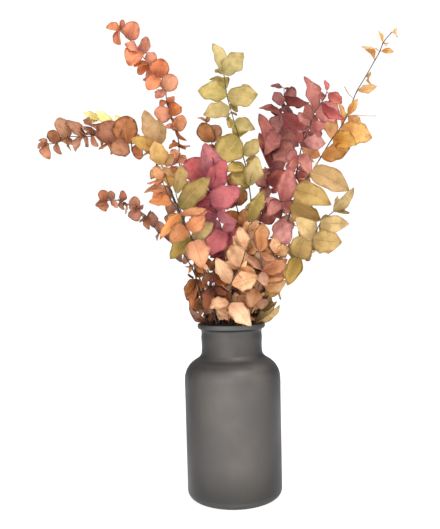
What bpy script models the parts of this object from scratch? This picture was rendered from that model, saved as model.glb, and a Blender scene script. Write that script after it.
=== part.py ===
"""Dyed and dried eucalyptus branches, standing in a frosted glass bottle.

Metres, +Z up, the front of the bunch towards -Y. The origin is the centre of the bottle's base.
The bottle is one turned shell. Each branch is one solid: a tapering stem that stands on the
bottle's floor, with its leaves joined to it at its knots.
"""

import math
import random

import bmesh
import bpy
from mathutils import Matrix, Vector
from mathutils.bvhtree import BVHTree

MM = 0.001

# The bottle, in mm: radius and height of each place on its outside, from the base up.
BOTTLE_HEIGHT = 253.0
BASE_RADIUS = 62.0
HEEL = (68.6, 3.2), (70.0, 9.0)
BODY_TOP = 71.0, 169.0
SHOULDER = (70.2, 178.0), (67.6, 185.5), (62.8, 192.5), (56.6, 197.8), (49.6, 202.4), (46.0, 206.6)
NECK = (44.9, 213.0), (45.2, 231.0), (46.2, 244.0)
LIP = (49.4, 245.6), (50.4, 248.6), (49.6, 251.8)
LIP_TOP = 47.0
GLASS = 3.6
FLOOR_GLASS = 6.0
BOTTLE_SIDES = 40

# The stems, in mm.
FOOT_RADIUS = 1.7
TIP_RADIUS = 0.6
FOOT_TURN = math.radians(75)  # the feet stand across the bottle, as in a spiralled bunch
FOOT_SPREAD = 1.25
NECK_SHARE = 0.22
STEM_STEP = 55.0
SEAT_GAP = 0.3

# The blades, in mm, and the room kept between blades of different branches.
BLADE_THICK = 0.7
ROOT_SINK = 0.4
CLEARANCE = 0.45
SMALL_LEAF = 40.0
BEHIND_SHARE = 0.32

# The lens that saw the bunch, in mm and in pixels of the 440 x 529 photograph.
# Routes and leaf tips below are pixels of that picture, with the depth behind the bottle's axis in mm.
LENS_DISTANCE = 850.0
LENS_HEIGHT = 329.0
FOCAL_PIXELS = 571.0
PICTURE_CENTRE = 220.0, 264.5
AXIS_RIGHT = 9.9
HORIZON_BELOW = 7.0
PICTURE_ROLL = math.radians(1.35)

# Each kind of blade: where its outline swells (base and tip powers), width by length, stalk in mm,
# fold along the midrib and arch along the length in degrees.
KINDS = {
    "round": dict(base=0.50, tip=0.58, wide=0.98, stalk=0.0, fold=10, arch=24),
    "ovate": dict(base=0.62, tip=0.86, wide=0.74, stalk=4.5, fold=16, arch=26),
    "broad": dict(base=0.46, tip=0.80, wide=0.92, stalk=3.5, fold=12, arch=22),
}

# The branches, from the back of the bunch to its front. A knot is (across, down, depth, leaves), from
# the bottle's mouth to the tip. A leaf is (tip across, tip down, lean to the viewer, roll, width).
BRANCHES = {
    "lemon": ("ovate", [
        (216, 322, 30, []),
        (204, 290, 36, []),
        (190, 250, 42, []),
        (177, 210, 46, []),
        (163, 175, 50, []),
        (146, 150, 53, []),
        (128, 134, 56, [(116, 114, 5, 15, 0.5)]),
        (113, 125, 58, [(97, 110, 5, 10, 0.6), (107, 113, 5, 20, 0.5)]),
        (100, 120, 59, [(84, 112, 5, 10, 0.6), (86, 121, 5, 20, 0.5)]),
    ]),
    "orange_crown": ("round", [
        (221, 322, 32, []),
        (212, 288, 38, []),
        (203, 250, 44, []),
        (192, 210, 49, [(181, 203, 0, 30), (203, 202, 0, 40)]),
        (184, 184, 52, [(176, 176, 0, 50)]),
        (180, 170, 54, [(171, 165, 10, 50, 0.8), (176, 178, 15, 50, 0.8)]),
        (179, 157, 56, [(172, 151, 25, 20, 1.1), (186, 163, 20, 30)]),
        (179, 144, 57, [(169, 147, 15, 35, 0.8), (185, 150, -10, 60, 0.6)]),
        (176, 130, 59, [(180, 119, 5, 10), (165, 127, 20, 62, 0.8), (184, 142, -10, 66, 0.5)]),
        (171, 115, 61, [(177, 102, -15, 20, 0.9), (157, 114, 35, 15, 1.1)]),
        (167, 102, 62, [(159, 107, 10, 40), (175, 99, 20, 30)]),
        (165, 90, 64, [(175, 75, 0, 15), (156, 98, 20, 15)]),
        (157, 77, 65, [(163, 61, 20, 5, 1.12), (149, 91, 20, 10, 0.95)]),
        (148, 64, 67, [(154, 50, -15, 10, 0.75), (135, 67, 25, 46)]),
        (139, 51, 69, [(150, 36, -15, 50, 0.8), (131, 64, 35, 5, 1.2), (127, 43, 0, 40)]),
        (129, 39, 71, [(136, 25, 25, 5, 1.05), (122, 27, -10, 50, 0.9)]),
        (119, 30, 72, [(107, 25, 10, 20), (119, 47, 20, 40, 0.8), (125, 22, -20, 55, 0.8)]),
    ]),
    "burgundy": ("ovate", [
        (235, 322, 33, []),
        (243, 290, 45, [(229, 276, 0, 20, 0.8), (257, 279, 0, 20, 0.8)]),
        (252, 255, 56, [(236, 244, 0, 20, 0.8), (279, 257, 10, 25, 0.6)]),
        (260, 222, 65, [(247, 206, 0, 20, 0.8), (278, 214, 5, 20, 0.85), (256, 246, 10, 30, 0.7)]),
        (266, 202, 70, [(253, 216, 0, 30, 0.8), (268, 224, 10, 20, 0.7)]),
        (269, 186, 74, [(255, 171, 15, 5, 1.05), (285, 172, 15, 5, 1.0), (260, 203, 10, 30, 0.85)]),
        (270, 168, 79, [(262, 133, 10, 30, 0.45), (286, 157, 10, 20, 0.9)]),
        (274, 150, 83, [(264, 113, 5, 30, 0.48), (296, 163, 30, 5, 0.95)]),
        (278, 132, 88, [(297, 146, 15, 20, 0.85), (264, 158, 20, 15, 0.6)]),
        (281, 115, 92, [(262, 102, 0, 45, 0.6), (266, 138, 10, 20, 0.65), (308, 143, 10, 10, 0.7)]),
        (282, 107, 94, [(275, 92, 10, 10, 0.95)]),
        (284, 96, 96, [(307, 108, 0, 58, 0.7)]),
        (284, 88, 98, [(271, 83, 0, 20, 0.6), (290, 90, 0, 60, 0.9)]),
    ]),
    "rust": ("round", [
        (230, 322, 20, []),
        (233, 285, 32, [(221, 277, 0, 20, 0.9), (246, 277, 0, 20, 0.9)]),
        (238, 250, 45, [(225, 240, 0, 20, 0.9), (252, 242, 0, 20, 0.9)]),
        (240, 225, 54, [(228, 211, 10, 20, 0.9), (247, 210, 10, 20, 0.8)]),
        (236, 204, 61, [(246, 190, 0, 10, 0.9), (225, 205, 0, 20)]),
        (227, 180, 69, [(243, 178, 0, 20)]),
        (219, 160, 76, [(216, 146, 0, 40, 0.8)]),
        (211, 141, 82, [(202, 124, 15, 5, 0.85), (217, 123, 0, 10, 0.9), (219, 134, 0, 50, 0.6)]),
        (206, 122, 88, [(198, 116, 0, 50, 0.5), (210, 114, -10, 40, 0.6)]),
    ]),
    "brown_arm": ("round", [
        (212, 322, 20, []),
        (203, 290, 22, []),
        (193, 255, 24, []),
        (183, 222, 26, []),
        (172, 195, 27, []),
        (160, 170, 28, [(150, 178, 0, 30)]),
        (149, 153, 29, []),
        (138, 144, 30, [(137, 159, -15, 25, 0.9), (135, 129, -20, 50, 0.8)]),
        (127, 143, 26, [(125, 116, 8, 0, 0.95), (115, 154, 30, 10, 1.1)]),
        (111, 143, 32, [(107, 120, 0, 0, 1.05), (99, 148, 20, 50, 0.6)]),
        (101, 134, 32, [(80, 110, -10, 66, 0.9)]),
        (92, 136, 32, [(84, 122, -10, 60, 1.0), (96, 147, 10, 50, 0.8)]),
        (83, 137, 32, [(73, 116, 10, 30, 0.8), (74, 150, 10, 42, 0.8)]),
        (67, 137, 33, [(62, 117, 10, 30, 0.78), (68, 151, -10, 66, 0.7)]),
        (57, 143, 34, [(52, 130, 10, 15, 1.0), (59, 154, 20, 40, 0.9)]),
        (46, 144, 34, [(39, 138, 0, 40, 0.9), (37, 148, 15, 35, 0.8), (48, 158, 25, 10, 0.85)]),
    ]),
    "lime": ("ovate", [
        (237, 322, 2, []),
        (240, 285, 10, []),
        (245, 250, 17, [(232, 238, 0, 20, 0.7), (260, 240, 5, 20, 0.7)]),
        (249, 222, 21, [(265, 193, 15, 15, 0.5)]),
        (251, 202, 25, [(244, 209, 10, 40, 0.5)]),
        (249, 186, 27, [(233, 165, 10, 5, 0.9), (258, 158, 5, 10, 0.78)]),
        (246, 167, 30, [(225, 168, 5, 25, 0.85)]),
        (243, 156, 32, [(260, 140, 5, 15, 0.75)]),
        (239, 138, 35, [(217, 162, 20, 0, 0.9)]),
        (234, 121, 37, [(253, 131, 5, 15, 0.85), (231, 130, 10, 50, 0.6)]),
        (230, 107, 39, [(205, 115, 20, 5, 0.8)]),
        (227, 96, 41, [(256, 97, 20, 10, 0.85), (200, 91, 20, 5, 0.85)]),
        (226, 89, 42, [(210, 66, -5, 30, 0.7)]),
        (224, 75, 44, [(214, 41, 5, 10, 0.46), (243, 55, 15, 10, 0.8), (215, 67, -10, 30, 0.8)]),
    ]),
    "rust_curl": ("round", [
        (206, 322, 4, []),
        (201, 295, -4, []),
        (192, 268, -11, [(184, 262, 0, 40, 0.8)]),
        (180, 250, -15, [(180, 262, 10, 40, 0.8)]),
        (168, 240, -19, [(167, 229, -10, 30)]),
        (160, 233, -21, [(160, 221, 0, 30, 0.9), (156, 240, 10, 55, 0.7)]),
        (154, 227, -23, [(153, 211, -5, 45, 0.8)]),
        (147, 217, -25, [(153, 209, 0, 45, 0.8), (147, 229, 15, 30, 0.8), (139, 221, 10, 40, 0.7)]),
        (136, 209, -28, [(135, 197, 15, 10, 0.9), (128, 209, 20, 30, 0.9), (137, 220, 25, 10, 1.2),
                       (144, 206, 10, 40, 0.7)]),
        (127, 204, -30, [(124, 214, 0, 60, 0.5)]),
        (121, 201, -31, [(125, 191, 0, 45, 0.9), (123, 210, 0, 50, 0.8)]),
        (111, 200, -33, [(117, 208, 15, 30, 0.8), (112, 191, 10, 30, 0.9)]),
        (105, 201, -34, [(103, 190, 10, 10, 1.1), (96, 204, 20, 30, 0.9), (106, 211, 25, 20, 1.1)]),
    ]),
    "amber": ("ovate", [
        (248, 322, 20, []),
        (262, 288, 13, []),
        (277, 254, 8, []),
        (290, 222, 3, []),
        (302, 192, -1, []),
        (312, 172, -3, []),
        (321, 157, -5, [(302, 147, 0, 20, 0.78), (350, 149, 10, 15, 0.62)]),
        (332, 139, -8, [(328, 107, 10, 20, 0.62), (353, 145, 25, 10, 1.0)]),
        (341, 127, -10, [(371, 138, 15, 10, 0.8), (344, 101, 5, 30, 0.5)]),
        (347, 116, -11, [(358, 100, 5, 15, 0.52), (364, 124, -15, 10, 0.8)]),
        (357, 91, -14, [(377, 86, 5, 10, 0.5)]),
        (366, 76, -16, []),
        (375, 60, -18, [(365, 43, 0, 25, 0.55)]),
        (380, 51, -19, [(394, 52, 5, 15, 0.52), (367, 45, -10, 45, 0.4)]),
        (383, 43, -20, [(380, 30, 0, 20, 0.36), (389, 44, 0, 50, 0.36)]),
        (392, 32, -22, []),
    ]),
    "straw": ("ovate", [
        (213, 322, 2, []),
        (207, 290, -6, []),
        (198, 258, -13, []),
        (187, 228, -19, []),
        (178, 207, -23, []),
        (170, 188, -27, []),
        (162, 166, -31, [(156, 144, 25, 8, 0.85), (174, 155, 5, 30, 0.75), (150, 175, 10, 25, 0.62),
                        (172, 178, 10, 30, 0.62)]),
        (155, 149, -34, [(145, 109, 5, 8, 0.46), (158, 111, -5, 12, 0.46), (133, 139, 10, 5, 0.72)]),
    ]),
    "rose": ("ovate", [
        (245, 322, -8, []),
        (257, 288, -15, []),
        (268, 256, -20, []),
        (276, 240, -23, [(262, 250, 0, 25)]),
        (280, 219, -26, [(270, 190, -5, 20, 0.6), (283, 247, 30, 5, 0.85)]),
        (282, 202, -28, [(290, 168, 5, 10, 0.6), (268, 214, 20, 10, 0.85), (297, 214, 15, 10, 0.85)]),
        (292, 184, -31, [(280, 176, 5, 30, 0.8)]),
        (297, 170, -33, [(307, 189, 10, 20, 0.75)]),
        (300, 154, -35, [(307, 181, 15, 15, 0.45), (290, 175, 5, 15, 0.45)]),
        (303, 141, -37, [(325, 143, 10, 10, 0.88)]),
        (310, 127, -39, [(300, 111, 10, 15, 0.9), (324, 127, 20, 15, 1.0), (321, 107, -10, 20, 0.75)]),
        (315, 111, -41, [(308, 76, 10, 15, 0.5)]),
        (322, 102, -43, [(341, 123, 5, 55, 0.5), (322, 84, -10, 20, 0.6)]),
        (327, 92, -44, [(341, 104, 5, 25, 0.8), (326, 79, 0, 30, 0.6)]),
    ]),
    "pink": ("broad", [
        (223, 322, -6, []),
        (225, 285, -20, []),
        (224, 254, -30, []),
        (222, 231, -38, [(210, 253, 25, 0, 1.0), (237, 222, 10, 30, 0.8)]),
        (217, 214, -43, [(203, 205, 5, 40, 0.7), (238, 227, 10, 45, 0.6)]),
        (211, 201, -48, [(239, 190, 20, 5, 0.85)]),
        (209, 186, -52, [(226, 161, 5, 15, 0.8), (183, 154, 5, 10, 0.85), (181, 191, -20, 30, 0.6)]),
        (208, 173, -56, [(207, 143, 5, 0, 1.0)]),
    ]),
    "honey": ("broad", [
        (251, 322, 4, []),
        (266, 286, -14, []),
        (279, 252, -28, []),
        (287, 224, -38, []),
        (293, 203, -46, [(318, 221, 15, 20, 0.85)]),
        (297, 190, -50, [(328, 208, 20, 10, 0.66)]),
        (306, 179, -55, [(317, 169, -20, 30, 0.6)]),
        (313, 172, -58, [(347, 191, 15, 8, 0.68), (320, 161, -10, 40, 0.5)]),
    ]),
    "olive": ("ovate", [
        (223, 322, -20, []),
        (212, 288, -33, []),
        (201, 258, -43, []),
        (191, 237, -50, [(168, 256, 5, 15, 0.66), (214, 225, 5, 20, 0.8)]),
        (180, 208, -58, [(209, 180, 15, 5, 0.58)]),
        (176, 194, -62, [(185, 163, 0, 25, 0.55)]),
    ]),
    "umber": ("ovate", [
        (207, 322, -12, [(197, 318, 10, 20, 0.64)]),
        (203, 306, -23, [(214, 301, 10, 40, 0.64), (200, 315, 15, 20, 0.77)]),
        (199, 290, -33, [(191, 301, 10, 30, 0.77)]),
        (196, 278, -39, [(183, 294, 10, 35, 0.64), (190, 307, 15, 35, 0.51), (206, 290, 15, 40, 0.64)]),
        (194, 264, -46, [(205, 274, 10, 20, 0.9), (187, 272, 0, 60, 0.64), (204, 260, -10, 20, 0.77)]),
    ]),
    "tan": ("broad", [
        (255, 322, -10, [(278, 303, 5, 20, 0.5), (283, 307, 15, 40, 0.5)]),
        (268, 296, -29, [(284, 271, 10, 30, 0.5), (269, 277, 15, 45, 0.45)]),
        (283, 272, -43, []),
        (297, 258, -53, [(307, 235, 25, 5, 1.08), (286, 285, 15, 10, 0.6)]),
        (307, 248, -59, []),
        (313, 239, -64, [(340, 243, 15, 8, 0.95), (297, 217, 5, 12, 0.75)]),
        (320, 224, -72, [(347, 226, 15, 20, 0.72)]),
        (334, 211, -80, [(356, 191, 10, 30, 0.5), (339, 196, 0, 30, 0.6)]),
    ]),
    "chestnut": ("ovate", [
        (216, 322, -21, [(219, 303, 5, 20, 0.9)]),
        (213, 303, -37, [(226, 300, 10, 20, 0.77), (205, 318, 15, 30, 0.77)]),
        (213, 287, -48, [(204, 308, 20, 25, 0.64), (226, 296, 5, 30, 0.9)]),
        (214, 272, -58, [(228, 285, 5, 15, 0.95), (209, 259, 5, 30, 0.95), (201, 284, 10, 40, 0.64)]),
    ]),
    "orange_left": ("broad", [
        (216, 322, -30, []),
        (208, 288, -47, []),
        (201, 262, -57, [(209, 270, 15, 30, 0.7)]),
        (194, 241, -65, [(201, 267, 15, 0, 0.86)]),
        (187, 229, -70, [(172, 242, 25, 8, 1.0), (205, 217, 5, 15, 1.0)]),
        (180, 214, -75, [(158, 237, 10, 30, 0.42), (206, 212, 5, 60, 0.6)]),
        (172, 202, -80, [(150, 201, 15, 30, 0.78)]),
        (166, 190, -85, [(144, 187, 0, 55, 0.8), (152, 196, -10, 30, 0.7)]),
        (162, 180, -88, [(146, 181, -10, 55, 0.7), (154, 167, 10, 15, 0.85)]),
    ]),
    "apricot": ("ovate", [
        (249, 322, -26, [(233, 303, 20, 8, 0.64)]),
        (253, 306, -41, [(236, 296, 5, 10, 0.95), (249, 289, 15, 15, 0.95)]),
        (258, 288, -55, [(250, 306, 20, 20, 0.95)]),
        (262, 270, -67, [(265, 286, 10, 20, 0.95), (246, 252, 10, 40, 0.64)]),
        (260, 252, -78, [(267, 221, -5, 15, 0.62), (250, 228, -5, 20, 0.5), (274, 262, 10, 30, 0.64)]),
    ]),
    "fawn": ("ovate", [
        (233, 322, -16, [(222, 302, 5, 30, 0.77)]),
        (236, 305, -24, [(222, 290, 10, 20, 0.9), (252, 298, 5, 20, 0.95), (246, 318, 10, 30, 0.77)]),
        (237, 288, -31, [(222, 274, 10, 20, 0.77), (253, 283, 0, 20, 0.95)]),
        (240, 270, -37, [(226, 260, 5, 30, 0.77), (255, 262, 5, 20, 0.95)]),
        (244, 253, -42, [(234, 239, 5, 20, 0.9), (258, 245, 0, 30, 0.9)]),
        (249, 238, -46, [(258, 220, 10, 15, 0.79), (247, 220, 5, 15, 0.7)]),
    ]),
    "cocoa": ("ovate", [
        (245, 322, -18, [(240, 308, 0, 30, 0.77)]),
        (256, 304, -20, [(244, 292, 5, 20, 0.77), (268, 300, 5, 30, 0.64)]),
        (264, 288, -27, [(284, 271, 5, 20, 0.7), (252, 274, 5, 30, 0.77)]),
        (270, 270, -33, [(258, 256, 5, 20, 0.77), (284, 258, 0, 30, 0.77)]),
        (274, 254, -38, [(264, 243, 5, 20, 0.8), (285, 251, 0, 20, 0.8)]),
    ]),
    "cream": ("ovate", [
        (240, 322, -33, [(230, 303, 0, 8, 0.7), (249, 304, 10, 30, 0.64)]),
        (249, 307, -38, [(244, 290, 15, 25, 0.77), (266, 302, 10, 30, 0.64)]),
        (260, 293, -43, [(254, 277, 10, 30, 0.77)]),
        (267, 279, -47, [(266, 260, 10, 30, 0.77), (283, 287, 10, 30, 0.77)]),
        (271, 267, -50, [(267, 243, 10, 55, 0.64), (289, 279, 15, 25, 0.64), (258, 262, 15, 30, 0.64)]),
        (275, 255, -53, [(276, 236, -5, 10, 0.7), (290, 248, 5, 10, 0.9)]),
    ]),
    "peach": ("ovate", [
        (229, 322, -37, [(224, 305, 12, 15, 0.7)]),
        (230, 303, -50, [(207, 302, 15, 35, 0.7), (248, 324, 22, 5, 0.64)]),
        (231, 284, -64, [(217, 257, 0, 8, 0.56), (258, 277, 12, 5, 0.95)]),
        (240, 268, -77, [(231, 244, -5, 5, 0.9), (248, 262, 10, 40, 0.64)]),
        (246, 249, -88, [(240, 225, -5, 8, 0.6), (233, 233, -5, 20, 0.6)]),
    ]),
}


def spot(across, down, depth):
    """The place, in mm, of what the photograph shows at this pixel, this far behind the axis."""
    right = across - PICTURE_CENTRE[0]
    below = down - PICTURE_CENTRE[1]
    level_right = right * math.cos(PICTURE_ROLL) - below * math.sin(PICTURE_ROLL) - AXIS_RIGHT
    level_below = right * math.sin(PICTURE_ROLL) + below * math.cos(PICTURE_ROLL) - HORIZON_BELOW
    scale = (LENS_DISTANCE + depth) / FOCAL_PIXELS
    return Vector((level_right * scale, depth, LENS_HEIGHT - level_below * scale))


def foot_of(mouth):
    """Where a stem that passes the mouth here stands on the bottle's floor."""
    foot = Matrix.Rotation(FOOT_TURN, 3, "Z") @ Vector((mouth.x, mouth.y, 0)) * FOOT_SPREAD
    tilt = math.atan2(math.hypot(mouth.x - foot.x, mouth.y - foot.y), mouth.z - FLOOR_GLASS)
    foot.z = FLOOR_GLASS + SEAT_GAP + FOOT_RADIUS * math.sin(tilt)
    return foot


def smooth_route(points, step):
    """The points of a smooth curve through these points, about this far apart."""
    chords = [max((b - a).length, 1e-6) for a, b in zip(points, points[1:])]
    slopes = [(b - a) / chord for a, b, chord in zip(points, points[1:], chords)]
    tangents = [slopes[0]]
    for before, after, short, long in zip(slopes, slopes[1:], chords, chords[1:]):
        tangents.append((before * long + after * short) / (short + long))
    tangents.append(slopes[-1])
    route = []
    for i, chord in enumerate(chords):
        pieces = max(1, round(chord / step))
        for j in range(pieces):
            t = j / pieces
            route.append(
                points[i] * (2 * t**3 - 3 * t**2 + 1)
                + tangents[i] * chord * (t**3 - 2 * t**2 + t)
                + points[i + 1] * (3 * t**2 - 2 * t**3)
                + tangents[i + 1] * chord * (t**3 - t**2)
            )
    route.append(points[-1])
    return route


def stem_points(knots):
    """A stem's places in mm: its foot, where it enters the neck, the bottle's mouth, then each knot."""
    places = [spot(*knot[:3]) for knot in knots]
    foot = foot_of(places[0])
    return [foot, places[0].lerp(foot, NECK_SHARE)] + places


def blade_outline(kind, length, wide, small):
    """Corner places of a flat blade, as (along, across) in mm: root, left side, tip, then right side."""
    base, tip = kind["base"], kind["tip"]
    swell = base / (base + tip)
    stalk = min(kind["stalk"], 0.2 * length)
    blade = length - stalk
    stations = (0.22, 0.68) if small else (0.14, 0.46, 0.8)
    left = []
    for s in stations:
        half = (s / swell) ** base * ((1 - s) / (1 - swell)) ** tip
        left.append((stalk + s * blade, half * wide * blade / 2))
    right = [(along, -across) for along, across in reversed(left)]
    return [(-ROOT_SINK, 0.0)] + left + [(length, 0.0)] + right, stalk + swell * blade


def blade_height(kind, along, across, length):
    """How far a place on a blade rises from its flat: the fold at the midrib and the arch."""
    fold = abs(across) * math.tan(math.radians(kind["fold"]))
    return fold - length * math.radians(kind["arch"]) * (along / length) ** 2 / 2


def blade_mesh(kind, length, wide, grow=0.0):
    """Corners and triangles of one blade in its own frame: x along, y across, z its upper face."""
    outline, middle = blade_outline(kind, length, wide, length < SMALL_LEAF)
    thick = BLADE_THICK / 2 + grow
    corners = []
    for along, across in outline + [(middle, 0.0)]:
        height = blade_height(kind, along, across, length)
        along += grow if along > middle else -grow
        across += math.copysign(grow, across) if across else 0.0
        corners.append(Vector((along, across, height)))
    count = len(corners)
    rim = count - 1
    top = [corner + Vector((0, 0, thick)) for corner in corners]
    bottom = [corner - Vector((0, 0, thick)) for corner in corners]
    faces = []
    # The root's triangle, then a fan about the midrib's middle from one side round the tip to the other.
    for fan in [(0, rim - 1, 1), (rim, 1, rim - 1)] + [(rim, i + 1, i) for i in range(1, rim - 1)]:
        faces.append(fan)
        faces.append(tuple(corner + count for corner in reversed(fan)))
    for i in range(rim):
        j = (i + 1) % rim
        faces.append((i, j, j + count))
        faces.append((i, j + count, i + count))
    root = {0, count}
    free_faces = [face for face in faces if not root.intersection(face)]
    return top + bottom, faces, free_faces


def leaf_frame(knot, heading, lean, roll):
    """The matrix that sets a blade on its knot: pointing that way, leaning and rolled."""
    toward = Vector((0, -1, 0))
    along = Vector((math.cos(heading) * math.cos(lean), -math.sin(lean), math.sin(heading) * math.cos(lean)))
    normal = (toward - along * toward.dot(along)).normalized()
    normal = Matrix.Rotation(roll, 3, along) @ normal
    across = normal.cross(along)
    return Matrix.Translation(knot) @ Matrix((along, across, normal)).transposed().to_4x4()


class Bunch:
    """What is already standing in the bottle, so that each new leaf can be bent clear of it."""

    def __init__(self):
        self.standing = []

    def add(self, branch, corners, faces, free_faces):
        """Stands a piece in the bunch. Its free faces are those away from its own root."""
        low = [min(c[i] for c in corners) for i in range(3)]
        high = [max(c[i] for c in corners) for i in range(3)]
        whole = BVHTree.FromPolygons(corners, faces)
        free = BVHTree.FromPolygons(corners, free_faces)
        self.standing.append((branch, low, high, whole, free))

    def add_object(self, name, thing):
        """Stands a finished object in the bunch."""
        mesh = thing.evaluated_get(bpy.context.evaluated_depsgraph_get()).to_mesh()
        mesh.calc_loop_triangles()
        faces = [tuple(triangle.vertices) for triangle in mesh.loop_triangles]
        self.add(name, [vertex.co / MM for vertex in mesh.vertices], faces, faces)

    def crossings(self, branch, corners, faces, free_faces):
        """How many pieces of its own branch these faces cross, or None if they cross another's."""
        low = [min(c[i] for c in corners) for i in range(3)]
        high = [max(c[i] for c in corners) for i in range(3)]
        whole = BVHTree.FromPolygons(corners, faces)
        free = BVHTree.FromPolygons(corners, free_faces)
        crossed = 0
        for other, other_low, other_high, other_whole, other_free in self.standing:
            if any(low[i] > other_high[i] or high[i] < other_low[i] for i in range(3)):
                continue
            if other != branch:
                if whole.overlap(other_whole):
                    return None
            elif free.overlap(other_free):
                crossed += 1
        return crossed


# How a leaf is bent clear: changes of lean, of roll and of length, the least first.
BENDS = sorted(
    (
        (lean, roll, size)
        for lean in range(-48, 49, 8)
        for roll in range(-45, 46, 15)
        for size in (1, 0.9, 0.8)
    ),
    key=lambda bend: abs(bend[0]) + 0.6 * abs(bend[1]) + 160 * (1 - bend[2]),
)


def settle(bunch, branch, kind, knot, leaf):
    """The place and size at which a leaf lies clear of the other branches, or None."""
    heading, length, lean, roll, wide = leaf
    best = None
    for bend_lean, bend_roll, size in BENDS:
        frame = leaf_frame(
            knot, heading, math.radians(lean + bend_lean), math.radians(roll + bend_roll)
        )
        corners, faces, free_faces = blade_mesh(kind, length * size, wide, CLEARANCE)
        crossed = bunch.crossings(branch, [frame @ corner for corner in corners], faces, free_faces)
        if crossed is not None and (best is None or crossed < best[0]):
            best = crossed, frame, length * size
        if crossed == 0:
            break
    if best is None:
        return None
    _, frame, length = best
    corners, faces, free_faces = blade_mesh(kind, length, wide)
    bunch.add(branch, [frame @ corner for corner in corners], faces, free_faces)
    return frame, length, wide


def leaves_of(kind, knots, dice):
    """Each leaf of a branch as (knot place, heading, length, lean, roll, width)."""
    found = []
    places = [spot(*knot[:3]) for knot in knots]
    for i, (across, down, depth, leaves) in enumerate(knots):
        lengths = []
        for tip_across, tip_down, lean, roll, *width in leaves:
            reach = spot(tip_across, tip_down, depth) - places[i]
            length = reach.length / math.cos(math.radians(lean))
            lengths.append(length)
            heading = math.atan2(reach.z, reach.x)
            found.append((places[i], (heading, length, lean, roll, *(width or [kind["wide"]]))))
        if i == 0 or (lengths and dice.random() > BEHIND_SHARE) or not (lengths or i > 1):
            continue
        # A knot's other leaf grows behind the stem, where the photograph doesn't show it.
        onward = places[min(i + 1, len(places) - 1)] - places[i - 1]
        side = math.radians(dice.choice((-1, 1)) * dice.uniform(25, 75))
        heading = math.atan2(onward.z, onward.x) + side
        length = (sum(lengths) / len(lengths) if lengths else dice.uniform(26, 34)) * dice.uniform(0.85, 1.05)
        leaf = heading, length, -dice.uniform(30, 60), dice.uniform(-25, 25), kind["wide"]
        found.append((places[i], leaf))
    return found


def material(name, colour, roughness, alpha=1.0):
    made = bpy.data.materials.new(name)
    made.use_nodes = True
    shader = made.node_tree.nodes["Principled BSDF"]
    shader.inputs["Base Color"].default_value = (*colour, 1.0)
    shader.inputs["Roughness"].default_value = roughness
    shader.inputs["Metallic"].default_value = 0.0
    shader.inputs["Alpha"].default_value = alpha
    return made


# Leaf colours, as linear red, green and blue.
LEAF_COLOURS = {
    "lemon": (0.84, 0.62, 0.18),
    "orange_crown": (0.62, 0.22, 0.11),
    "burgundy": (0.28, 0.08, 0.08),
    "rust": (0.36, 0.11, 0.05),
    "brown_arm": (0.42, 0.19, 0.11),
    "lime": (0.55, 0.44, 0.14),
    "rust_curl": (0.40, 0.15, 0.08),
    "amber": (0.74, 0.38, 0.11),
    "straw": (0.75, 0.52, 0.20),
    "rose": (0.52, 0.15, 0.14),
    "pink": (0.58, 0.14, 0.16),
    "honey": (0.50, 0.36, 0.13),
    "olive": (0.46, 0.36, 0.12),
    "umber": (0.20, 0.07, 0.03),
    "tan": (0.48, 0.34, 0.13),
    "chestnut": (0.26, 0.09, 0.05),
    "orange_left": (0.80, 0.34, 0.14),
    "apricot": (0.70, 0.33, 0.15),
    "fawn": (0.52, 0.26, 0.13),
    "cocoa": (0.20, 0.08, 0.04),
    "cream": (0.86, 0.52, 0.28),
    "peach": (0.85, 0.50, 0.27),
}


def bottle_profile():
    """The bottle's section, in mm, from the base's centre round the outside and back inside."""
    base = [(0.0, 0.0), (BASE_RADIUS, 0.0), *HEEL]
    outside = [*base, BODY_TOP, *SHOULDER, *NECK, *LIP, (LIP_TOP, BOTTLE_HEIGHT)]
    neck_inside = NECK[0][0] - GLASS
    inside = [
        (neck_inside + 1.6, BOTTLE_HEIGHT - 0.8),
        (neck_inside, BOTTLE_HEIGHT - 4.0),
        (neck_inside, NECK[0][1] - 4.0),
        (SHOULDER[4][0] - GLASS, SHOULDER[4][1] - 2.6),
        (SHOULDER[2][0] - GLASS, SHOULDER[2][1] - 3.0),
        (BODY_TOP[0] - GLASS - 0.4, BODY_TOP[1]),
        (HEEL[1][0] - GLASS, FLOOR_GLASS + 9.0),
        (BASE_RADIUS - 3.0, FLOOR_GLASS),
        (0.0, FLOOR_GLASS),
    ]
    return outside + inside


def make_bottle(collection):
    """The frosted glass bottle: its section turned about the axis."""
    section = bmesh.new()
    profile = reversed(bottle_profile())
    points = [section.verts.new((radius * MM, 0, height * MM)) for radius, height in profile]
    for lower, upper in zip(points, points[1:]):
        section.edges.new((lower, upper))
    mesh = bpy.data.meshes.new("bottle")
    section.to_mesh(mesh)
    section.free()
    bottle = bpy.data.objects.new("bottle", mesh)
    collection.objects.link(bottle)
    turn = bottle.modifiers.new("turn", "SCREW")
    turn.steps = turn.render_steps = BOTTLE_SIDES
    turn.use_merge_vertices = True
    turn.merge_threshold = 0.00005
    turn.use_normal_calculate = False
    mesh.materials.append(material("frosted glass", (0.12, 0.11, 0.105), 0.55, 0.95))
    return bottle


def stem_radius(share):
    """A stem's radius in mm, this share of the way from its foot to its tip."""
    return FOOT_RADIUS + (TIP_RADIUS - FOOT_RADIUS) * share


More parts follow.
